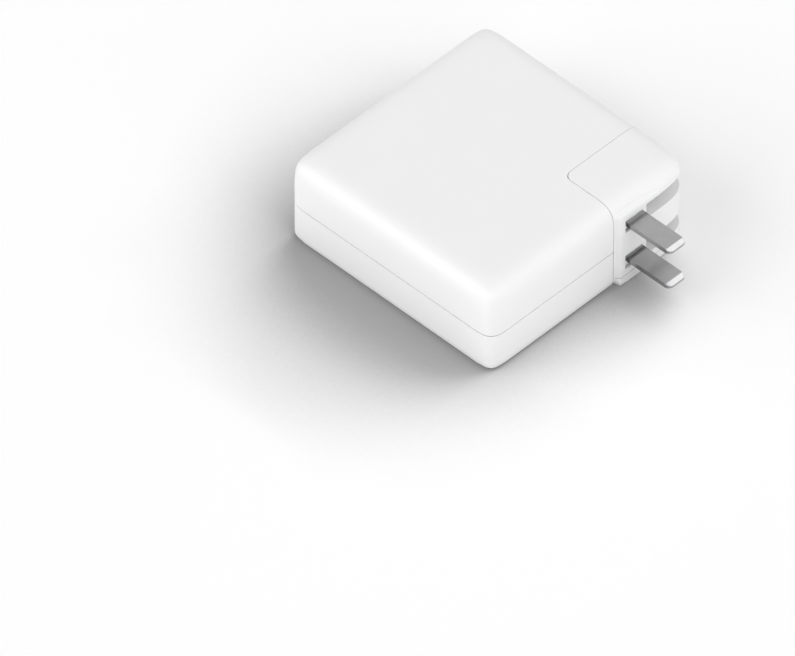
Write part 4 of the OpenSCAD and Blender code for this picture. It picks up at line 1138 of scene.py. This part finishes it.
# Painted shade inside the slots and in the seam steps, and a painted highlight on the blade tips.
second_finish(corner_plug, "inner_white_painted_shade", within_block)
second_finish(case_base, "seam_step_painted_shade", in_gap(PARTING))
second_finish(corner_floor, "inner_white_painted_shade", in_gap(FLOOR_TOP))
for name in ("blade_high", "blade_low"):
    second_finish(bpy.data.objects[name], "tip_steel_painted_highlight", tip_bevel)

# %% [markdown]
# ## Floor and light
# The floor is white, and its colour carries a painted shadow. A real shadow is
# deepest in the last few millimetres, where hardly any sky reaches the floor, and it is
# longest on the side away from the window. Suns alone leave it too weak, so the floor's
# colour is painted darker where a spot sees less of the sky, as painted shadow: once straight up,
# and once leaning away from the two faces in front.
# A white plastic needs light from all sides, or its own shading hides the form. An even
# world fills every face, and four wide suns, as soft as windows, set the faces apart: one
# behind on the right, one low on the left, one high in front and a weak one on the right.
# The camera and glossy surfaces see that world white, while it lights the object less.

# %% Floor
bpy.ops.mesh.primitive_plane_add(size=12)
floor = bpy.context.active_object
floor.name = "floor"
tree, shader = new_finish("floor_painted_shadow", 0.9)


def paint_floor_shadow(reach, darkest, dark_until, clear_from, socket):
    """Paints shadow into the floor's colour by how much of the sky within reach, in m, a spot can
    see.
    """
    node = add_node(tree, "AmbientOcclusion", Distance=reach)
    tint(tree, node.outputs["AO"], [(dark_until, (darkest,) * 3), (clear_from, (1, 1, 1))],
         socket)
    return node


# Painted shadow: the two sky shares below darken the floor's colour round the object.
both = add_node(tree, "Mix", Factor=1)
both.data_type, both.blend_type = "RGBA", "MULTIPLY"
above_socket, behind_socket, product = both.inputs[6], both.inputs[7], both.outputs[2]
paint_floor_shadow(0.03, 0.88, 0.5, 1.0, above_socket)
painted_shadow_behind = paint_floor_shadow(0.06, 0.42, 0.5, 0.92, behind_socket)
leaning = add_node(tree, "CombineXYZ", X=0.16, Y=0.8, Z=0.55)
tree.links.new(leaning.outputs["Vector"], painted_shadow_behind.inputs["Normal"])
tree.links.new(product, shader.inputs["Base Color"])
shader.inputs["Specular IOR Level"].default_value = 0.0
floor.data.materials.append(FINISHES["floor_painted_shadow"])
print("floor in m:", [round(side, 1) for side in floor.dimensions])


# %% Lamps and world
def wide_sun(name, azimuth, elevation, strength, width):
    """A sun from a direction, all in degrees, wide enough to act as a soft box."""
    a, e = math.radians(azimuth), math.radians(elevation)
    towards = Vector((math.cos(e) * math.cos(a), math.cos(e) * math.sin(a), math.sin(e)))
    bpy.ops.object.light_add(type="SUN")
    lamp = bpy.context.active_object
    lamp.name = name
    lamp.rotation_euler = towards.to_track_quat("Z", "Y").to_euler()
    lamp.data.energy = strength * math.pi
    lamp.data.angle = math.radians(width)


wide_sun("back light", 70, 45, 0.27, 74)
wide_sun("left light", -117, 19, 0.58, 70)
wide_sun("front light", -16, 41, 0.33, 60)
wide_sun("right light", 10, 20, 0.06, 50)
world = bpy.data.worlds.new("studio")
bpy.context.scene.world = world
world.use_nodes = True
tree, links = world.node_tree, world.node_tree.links
tree.nodes.clear()
lighting = add_node(tree, "Background", Color=(1, 1, 1, 1), Strength=0.36)
seen = add_node(tree, "Background", Color=(1, 1, 1, 1), Strength=1.0)
ray = add_node(tree, "LightPath")
direct = ray.outputs["Is Camera Ray"]
for kind in ("Is Glossy Ray", "Is Transmission Ray"):
    either = add_node(tree, "Math")
    either.operation = "MAXIMUM"
    links.new(direct, either.inputs[0])
    links.new(ray.outputs[kind], either.inputs[1])
    direct = either.outputs[0]
choice = add_node(tree, "MixShader")
for socket, source in zip(choice.inputs, (direct, lighting.outputs[0], seen.outputs[0])):
    links.new(source, socket)
links.new(choice.outputs[0], add_node(tree, "OutputWorld").inputs["Surface"])
